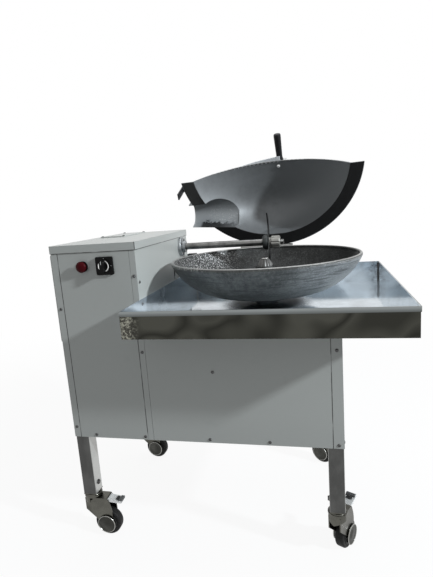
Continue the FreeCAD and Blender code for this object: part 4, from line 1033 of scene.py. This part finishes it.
def end_plug(beam_end):
    """A plastic plug in the beam's open right end."""
    half, wall, deep, stuck_in, head = 12.5 * MM, 3 * MM, 12 * MM, 0.5 * MM, 2.2 * MM
    centre = at(beam_end, hinge_axis.y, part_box("hinge_bracket")[0].z - half)
    core = at(0, half - wall, half - wall)
    face = at(0, half, half)
    plug = Form().block(centre - core - X * deep, centre + core + X * stuck_in)
    plug.block(centre - face, centre + face + X * head, 0.9 * MM)
    plug.done("beam_plug", plastic("plug_black", grey(0.014), 0.45), "frame", "black_plastic")


def leaf_screws(bright):
    """The screws that hold the hinge leaf on the lid's rim."""
    low, high = lid_box("lid_hinge_leaf", swing())
    head = mm((0, 2.4), (2.4, 2.2), (4.4, 1.0), (4.8, 0))
    screws = Form()
    for share in (0.10, 0.35, 0.65, 0.90):
        screws.turned(head, at(low.x + (high.x - low.x) * share, low.y + 11 * MM, high.z), Z, 20)
    screws.done("leaf_screws", bright, "lid", "screws", swing())


class CUTTER_OT_hinge(Operator):
    """Finish the hinge and its beam, with welds, screws, foot bolts and an end plug"""

    bl_idname = "cutter.hinge"
    bl_label = "Hinge"

    def execute(self, context):
        dress("hinge_beam", brushed_metal("beam_steel", (0.46, 0.46, 0.42), 0.75, 0.30, (0.04, 1, 1)), 0.6)
        dress("hinge_bracket lid_hinge_leaf", brushed_metal("hinge_steel", (0.36, 0.36, 0.35)), 0.5)
        dress("beam_sleeve", plastic("sleeve_black", grey(0.012), 0.5), 1.0)
        beam_low, beam_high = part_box("hinge_beam")
        bright = plain("hinge_bolt_steel", (0.30, 0.30, 0.29), 0.3, 1.0)
        foot_bolts(beam_low, beam_high, bright)
        hinge_welds()
        end_plug(beam_high.x)
        leaf_screws(bright)
        return {"FINISHED"}


def knife_boss():
    """The dark cast boss on the shaft's collar that the knives lean on, with its two bolts."""
    deep = 16.6
    foot = at(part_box("upper_blade")[0].x - deep * MM, shaft_axis.y, shaft_axis.z)
    boss = Form().turned(mm((16.8, 0), (20, 0.4), (23, 3), (24.5, 8), (24.5, 13), (23, deep - 0.4),
                            (16.8, deep - 0.2)), foot, X, 40)
    for side in (-1, 1):
        boss.hexagon(4.2, 4.0, foot + at(0.5, side * 19.5, 0) * MM, -X, 0.5)
    iron = cast_metal("boss_iron", (0.05, 0.055, 0.055), 0.003, 0.45, 0.6)
    boss.done("knife_boss", iron, "knives", "bright_steel")


def shaft_thread():
    """Thread rings on the shaft's end beyond the nut."""
    start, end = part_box("knife_nut")[1].x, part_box("knife_shaft")[1].x
    pitch, core, crest, plain_end = 1.5 * MM, 7.9 * MM, 8.6 * MM, 0.4 * MM
    profile = [(core, 0.0)]
    along = plain_end
    while along + pitch < end - start - 1.0 * MM:
        profile += [(core, along), (crest, along + pitch / 2), (core, along + pitch)]
        along += pitch
    profile += [(core, end - start - plain_end)]
    metal = plain("thread_steel", (0.30, 0.30, 0.29), 0.35, 1.0)
    place = at(start, shaft_axis.y, shaft_axis.z)
    Form().turned(profile, place, X, 32).done("shaft_thread", metal, "knives", "bright_steel")


def bearing_screws():
    """Three socket screws round the wall bearing's flange, and its grease nipple."""
    low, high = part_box("wall_bearing")
    flange, nipple_out, nipple_up, edge = 10 * MM, 5 * MM, 19 * MM, 6.0 * MM
    centre = at(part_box("column_right_panel")[1].x + flange, shaft_axis.y, shaft_axis.z)
    ring = (high.z - low.z) / 2 - edge
    head = mm((0, 0.8), (1.8, 0.8), (2.0, 2.6), (3.4, 2.6), (3.8, 2.2), (3.8, 0))
    nipple = mm((3.0, 0), (3.0, 2.5), (1.6, 3.2), (1.6, 5.0), (2.2, 6.0), (1.4, 7.4), (0, 7.6))
    screws = Form()
    for degrees in (30, 150, 270):
        angle = math.radians(degrees)
        screws.turned(head, centre + at(0, ring * math.cos(angle), ring * math.sin(angle)), X, 20)
    screws.turned(nipple, centre + at(nipple_out, 0, nipple_up), Z, 16)
    screws.done("bearing_screws", plain("bearing_screw_steel", grey(0.12), 0.35, 1.0), "frame", "screws")


class CUTTER_OT_knives(Operator):
    """Finish the knife shaft, its bearing, the knives and the clamp nut"""

    bl_idname = "cutter.knives"
    bl_label = "Knives"

    def execute(self, context):
        looks = context.scene.cutter_knives
        dress("knife_shaft", turned_metal("shaft_steel", looks.steel, shaft_axis, "YZ"), 0.4)
        blade = brushed_metal("blade_steel", looks.blade, 0.7, 0.24, (1, 0.08, 0.08), 0.002)
        dress("upper_blade lower_blade", blade, looks.grind / MM)
        dress("knife_nut", cast_metal("nut_metal", looks.nut, 0.002, 0.42, 0.6), 0.6)
        dress("wall_bearing", turned_metal("bearing_metal", (0.42, 0.44, 0.45), shaft_axis, "YZ", 0.42), 0.8)
        knife_boss()
        shaft_thread()
        bearing_screws()
        return {"FINISHED"}


def push_button(red):
    """The red dome, and the stem behind it."""
    low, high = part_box("stop_button")
    centre = front_centre("stop_button")
    radius, deep, thin = (high.x - low.x) / 2, 9 * MM, 7.9 * MM
    dome = [(0.0, 0.0), (radius * 0.45, 0.7 * MM), (radius * 0.75, 2.2 * MM), (radius * 0.93, 4.6 * MM),
            (radius, 7.2 * MM), (radius, deep - 1.0 * MM), (radius - 1.0 * MM, deep), (0.0, deep)]
    start, end = deep - 1 * MM, high.y - low.y
    head = Form().turned(dome, centre, Y, 48)
    head.turned([(0.0, start), (thin, start), (thin, end), (0.0, end)], centre, Y, 32)
    head.done("button_dome", red, "stop_button", "red_plastic", replaces=["stop_button"])


def cam_switch(silver, white):
    """The silver ring on the knob, the ticks on the plate and the knob's white mark."""
    centre = front_centre("switch_body")
    knob_low, knob_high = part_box("switch_knob")
    grip_depth, tick_circle, below_end = 14 * MM, 20 * MM, 7 * MM
    disc = at(centre.x, knob_low.y + grip_depth, centre.z)
    ring = mm((12.2, 0), (12.2, 0.5), (12.6, 0.8), (14.6, 0.8), (15.0, 0.5), (15.0, 0))
    Form().turned(ring, disc, -Y, 64).done("switch_ring", silver, "switch_knob", "holder_metal")
    ticks = Form()
    half = at(0.6, 0.25, 0.6) * MM
    for way in (Z, X):
        spot = centre + way * tick_circle
        ticks.block(spot - half, spot + half)
    ticks.done("switch_ticks", white, "frame", "holder_metal")
    tip = at(centre.x, knob_low.y, knob_high.z - below_end)
    mark = Form().block(tip - at(0.8, 0.15, 5.0) * MM, tip + at(0.8, 0.5, 4.0) * MM, 0.1 * MM)
    mark.done("knob_mark", white, "switch_knob", "holder_metal")


class CUTTER_OT_controls(Operator):
    """Make the push button, the cam switch and their rings"""

    bl_idname = "cutter.controls"
    bl_label = "Controls"

    def execute(self, context):
        looks = context.scene.cutter_controls
        black = plastic("switch_black", looks.black, 0.40, 0.1)
        push_button(plastic("button_red", looks.red, 0.42, 0.08))
        dress("stop_button_holder", black, 0.5)
        dress("switch_body", black, 0.9)
        dress("switch_knob", black, 1.0)
        silver = plain("ring_silver", looks.silver, 0.28, 1.0)
        cam_switch(silver, plain("mark_white", (0.72, 0.72, 0.70), 0.5))
        dress("lid_switch", plastic("lid_switch_black", (0.02, 0.02, 0.021)), 0.6)
        return {"FINISHED"}


def caster_rings(corner, zinc, core, cap, bright):
    """Axle nuts, covers with bright edges, the swivel's dust ring and the wheel's rings."""
    wheel, swivel = pivot(corner + "_roll"), pivot(corner + "_swivel")
    axle = Vector(joints[corner + "_roll"]["axis"])
    top = at(swivel.x, swivel.y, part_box(corner + "_fork")[1].z)
    nut_out, cover_out, wheel_out = 20.3 * MM, 20.5 * MM, 13 * MM
    dust_ring = mm((24.2, -9.5), (25.6, -8.8), (25.9, -6.0), (25.6, -3.2), (24.2, -2.4))
    cover = mm((26, 0), (26, 1.4), (20, 1.8), (13, 1.2), (11, 2.4), (0, 2.8))
    rolled_edge = mm((25, 1.0), (25.6, 2.3), (26.8, 2.3), (27.4, 1.0), (26.8, -0.4))
    nuts, rings, covers, edges = Form(), Form(), Form(), Form()
    for out in (-axle, axle):
        nuts.hexagon(7.4, 2.6, wheel + out * nut_out, out, 0.5)
        for r in (26.6, 15.5):
            bead = mm((r - 1.2, -1.5), (r - 1.0, 0.5), (r, 0.9), (r + 1.0, 0.5), (r + 1.2, -1.5))
            rings.turned(bead, wheel + out * wheel_out, out, 48)
        covers.turned(cover, wheel + out * cover_out, out, 40)
        edges.turned(rolled_edge, wheel + out * cover_out, out, 40)
    nuts.turned(dust_ring, top, Z, 48)
    nuts.done(corner + "_axle_nuts", zinc, corner + "_swivel", "zinc")
    rings.done(corner + "_wheel_rings", core, corner + "_wheel", "wheel_core")
    covers.done(corner + "_axle_covers", cap, corner + "_swivel", "zinc")
    edges.done(corner + "_cover_edges", bright, corner + "_swivel", "zinc")


def caster_crown(corner, zinc):
    """The rounded web that joins the fork's cheeks ahead of the wheel."""
    swivel = pivot(corner + "_swivel")
    lead, across = heading(pivot(corner + "_roll"), swivel)
    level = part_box(corner + "_fork")[1].z - 2.5 * MM
    top = at(swivel.x, swivel.y, level)
    inner, outer, rounded = 21.8 * MM, 24.6 * MM, 22.6 * MM
    rings = []
    for degrees in range(-88, 89, 11):
        angle = math.radians(degrees)
        out = lead * math.cos(angle) + across * math.sin(angle)
        drop = (33 - 12 * abs(math.sin(angle))) * MM
        rings.append([top + out * wide - Z * down for wide, down in (
            (inner, drop), (outer, drop), (outer, 3 * MM), (rounded, 0.0), (inner, 0.0))])
    Form().loft(rings).done(corner + "_crown", zinc, corner + "_swivel", "zinc")


def brake_pad(corner, pad, black):
    """A ribbed rubber pad on the pedal's tip, and a black slab behind it as painted shade in the pedal's
    slot.
    """
    hinge = pivot(corner + "_brake")
    along, across = heading(pivot(corner + "_swivel"), hinge)
    places = [v.co - hinge for v in mesh_of(corner + "_pedal").vertices]
    reach = max(p.dot(along) for p in places)
    tip = [p.z for p in places if p.dot(along) > reach - 1.5 * MM]
    tilt = math.atan2(sum(tip) / len(tip) - 4 * MM, reach)
    forward = along * math.cos(tilt) + Z * math.sin(tilt)
    turn = Matrix((forward, across, forward.cross(across))).transposed().to_4x4()
    turn.translation = hinge
    end, half = reach / math.cos(tilt), 13.2 * MM

    def slab(form, back, front, side, low, high, round_off):
        return form.block(at(end - back * MM, -side, low * MM), at(end - front * MM, side, high * MM),
                          round_off * MM, turn)

    pads = slab(Form(), 11, 1, half, 1.5, 8.6, 1.2)
    for back in (9.6, 6.4, 3.2):
        slab(pads, back, back - 1.5, half - 1.5 * MM, 8.0, 9.6, 0.4)
    pads.done(corner + "_brake_pad", pad, corner + "_pedal", "seal_rubber")
    # Painted shade: a black slab stands for the dark of the slot.
    slot = slab(Form(), 21, 14, half * 0.62, 5.6, 7.6, 0.3)
    slot.done(corner + "_pedal_slot", black, corner + "_pedal", "seal_rubber")


class CUTTER_OT_casters(Operator):
    """Finish the casters, with axle nuts, covers, race rings, crowns and brake pads"""

    bl_idname = "cutter.casters"
    bl_label = "Casters"

    def execute(self, context):
        looks = context.scene.cutter_casters
        zinc = brushed_metal("fork_zinc", looks.zinc, 0.5, 0.16, (1, 1, 1), 0.003)
        core = plastic("wheel_core", looks.core, 0.45)
        cap = brushed_metal("cover_steel", (0.045, 0.045, 0.041), 2.2, 0.34, (1, 1, 1), 0.004)
        tyre = tyre_rubber("tyre_rubber", looks.rubber)
        pedal = plain("pedal_zinc", (0.80, 0.80, 0.79), 0.3, 0.35)
        pad = rubber("pad_rubber", grey(0.14), 0.6)
        # Near black for the painted shade in the pedal slots.
        black = plain("pedal_slot_black", grey(0.010), 0.6)
        bright = plain("cover_edge_steel", (0.34, 0.34, 0.32), 0.3, 1.0)
        dress("caster_mounts", zinc, 0.4)
        for corner in ("front_left", "front_right", "rear_left", "rear_right"):
            dress(corner + "_fork", zinc, 0.5)
            dress(corner + "_hub", core, 0.6)
            dress(corner + "_tyre", tyre)
            smooth(mesh_of(corner + "_tyre"), 40)
            caster_rings(corner, zinc, core, cap, bright)
            caster_crown(corner, zinc)
            if corner + "_brake" in joints:
                dress(corner + "_pedal", pedal, 0.5)
                brake_pad(corner, pad, black)
        return {"FINISHED"}


class CUTTER_OT_drive(Operator):
    """Finish the motor, gearbox, pulleys and belts inside the casing"""

    bl_idname = "cutter.drive"
    bl_label = "Drive"

    def execute(self, context):
        dress("gearbox_housing pillow_bearings", cast_metal("casting", (0.13, 0.14, 0.15)), 0.8)
        dress("motor_body", cast_metal("motor_enamel", (0.09, 0.14, 0.19), 0.002, 0.4), 0.6)
        steel = (0.34, 0.34, 0.33)
        dress("motor_rotor", turned_metal("rotor_steel", steel, pivot("motor_spin"), "YZ"), 0.4)
        dress("worm_shaft", turned_metal("worm_steel", steel, pivot("worm_spin"), "YZ"), 0.4)
        dress("knife_pulley", turned_metal("pulley_metal", grey(0.36), shaft_axis, "YZ"), 0.4)
        dress("drive_belts", rubber("belt_rubber", grey(0.016)))
        return {"FINISHED"}


# The stage


def seen_directly(s):
    """1 for what is seen, straight or mirrored, and 0 for light that only bounces."""
    rays = [s.node("LightPath", output=kind)
            for kind in ("Is Camera Ray", "Is Glossy Ray", "Is Transmission Ray")]
    return s.clamp(reduce(add, rays))


def set_floor(context, looks):
    """A wide floor that shows white but keeps the machine's shadow."""
    s = Shader("floor_white")
    seen = seen_directly(s)
    shade = s.blend(seen, grey(0.45), grey(0.92))
    matt = s.principled(base_color=shade, roughness=0.95, specular_ior_level=0.0)
    white = s.node("Emission", inputs={"Color": (1.0, 1.0, 1.0), "Strength": 1.0})
    far = s.fade(s.from_axis(at(0, 0, 0)), 0.9, 3.0)
    hidden = seen * (looks.whiteness + far * (1.0 - looks.whiteness))
    material = s.close(s.node("MixShader", inputs={0: hidden, 1: matt, 2: white}))
    mesh = bpy.data.meshes.new("floor")
    half = 12.0
    square = [(-half, -half, 0), (half, -half, 0), (half, half, 0), (-half, half, 0)]
    mesh.from_pydata(square, [], [(0, 1, 2, 3)])
    mesh.materials.append(material)
    floor = bpy.data.objects.new("floor", mesh)
    context.scene.collection.objects.link(floor)


def set_world(context, looks):
    """Even room light, seen as white by the camera and in reflections."""
    context.scene.world = bpy.data.worlds.new("room")
    s = Shader("room", context.scene.world)
    room = s.node("Background", inputs={"Color": (0.93, 0.97, 1.0), "Strength": looks.fill})
    white = s.node("Background", inputs={"Color": (1.0, 1.0, 1.0), "Strength": 1.0})
    shown = s.node("MixShader", inputs={0: seen_directly(s), 1: room, 2: white})
    s.node("OutputWorld", inputs={"Surface": shown})


def set_lamps(context, looks):
    """A cool lamp low at the right, and a wide soft one overhead."""
    middle = at(0, 0, 0.7)
    for name, way, distance, size, power, colour in (
            ("daylight", at(0.86, -0.30, 0.43), 4.6, 0.26, looks.daylight, (0.89, 0.95, 1.0)),
            ("overhead", at(0.10, 0.25, 1.0), 2.6, 2.0, looks.overhead, (0.97, 0.98, 1.0))):
        data = bpy.data.lights.new(name, "AREA")
        data.shape = "SQUARE"
        data.size = size
        data.energy = power
        data.color = colour
        lamp = bpy.data.objects.new(name, data)
        lamp.location = middle + way.normalized() * distance
        lamp.rotation_mode = "QUATERNION"
        lamp.rotation_quaternion = way.to_track_quat("Z", "Y")
        context.scene.collection.objects.link(lamp)


def set_camera(context, looks):
    """Stand where the photograph was taken from."""
    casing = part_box("left_panel")[0]
    stand = at(casing.x, casing.y, 0) + at(0.708242, -1.088212, 0.947569)
    turn, tilt, roll = -0.231781, -0.180227, 0.073488
    forward = at(math.sin(turn) * math.cos(tilt), math.cos(turn) * math.cos(tilt), math.sin(tilt))
    level = at(math.cos(turn), -math.sin(turn), 0)
    drop = forward.cross(level)
    right = level * math.cos(roll) + drop * math.sin(roll)
    down = drop * math.cos(roll) - level * math.sin(roll)
    data = bpy.data.cameras.new("camera")
    data.lens = looks.lens
    data.sensor_width = 36.0
    data.sensor_fit = "AUTO"
    camera = bpy.data.objects.new("camera", data)
    pose = Matrix((right, -down, -forward)).transposed().to_4x4()
    pose.translation = stand
    camera.matrix_world = pose
    context.scene.collection.objects.link(camera)
    context.scene.camera = camera


class CUTTER_OT_stage(Operator):
    """Set the floor, the soft lamps and the camera"""

    bl_idname = "cutter.stage"
    bl_label = "Stage"

    def execute(self, context):
        looks = context.scene.cutter_stage
        context.scene.view_settings.view_transform = "Standard"
        set_floor(context, looks)
        set_world(context, looks)
        set_lamps(context, looks)
        set_camera(context, looks)
        return {"FINISHED"}


# The add-on


PIECES = (CUTTER_OT_casing, CUTTER_OT_screws, CUTTER_OT_frame, CUTTER_OT_tray, CUTTER_OT_bowl, CUTTER_OT_lid,
          CUTTER_OT_handle, CUTTER_OT_hinge, CUTTER_OT_knives, CUTTER_OT_controls, CUTTER_OT_casters,
          CUTTER_OT_drive, CUTTER_OT_stage)


class CUTTER_PT_panel(Panel):
    """Lists the looks and the pieces of the machine"""

    bl_idname = "CUTTER_PT_panel"
    bl_label = "Vegetable cutting machine"
    bl_space_type = "VIEW_3D"
    bl_region_type = "UI"
    bl_category = "Cutter"

    def draw(self, context):
        for group, kind in GROUPS.items():
            column = self.layout.column(align=True)
            for name in kind.__annotations__:
                column.prop(getattr(context.scene, group), name)
        for piece in PIECES:
            self.layout.operator(piece.bl_idname)


def register():
    for kind in (*GROUPS.values(), *PIECES, CUTTER_PT_panel):
        bpy.utils.register_class(kind)
    for group, kind in GROUPS.items():
        setattr(Scene, group, PointerProperty(type=kind))


def unregister():
    for group in GROUPS:
        delattr(Scene, group)
    for kind in reversed((*GROUPS.values(), *PIECES, CUTTER_PT_panel)):
        bpy.utils.unregister_class(kind)


def main():
    register()
    for piece in PIECES:
        group, name = piece.bl_idname.split(".")
        getattr(getattr(bpy.ops, group), name)()


if __name__ == "__main__":
    main()
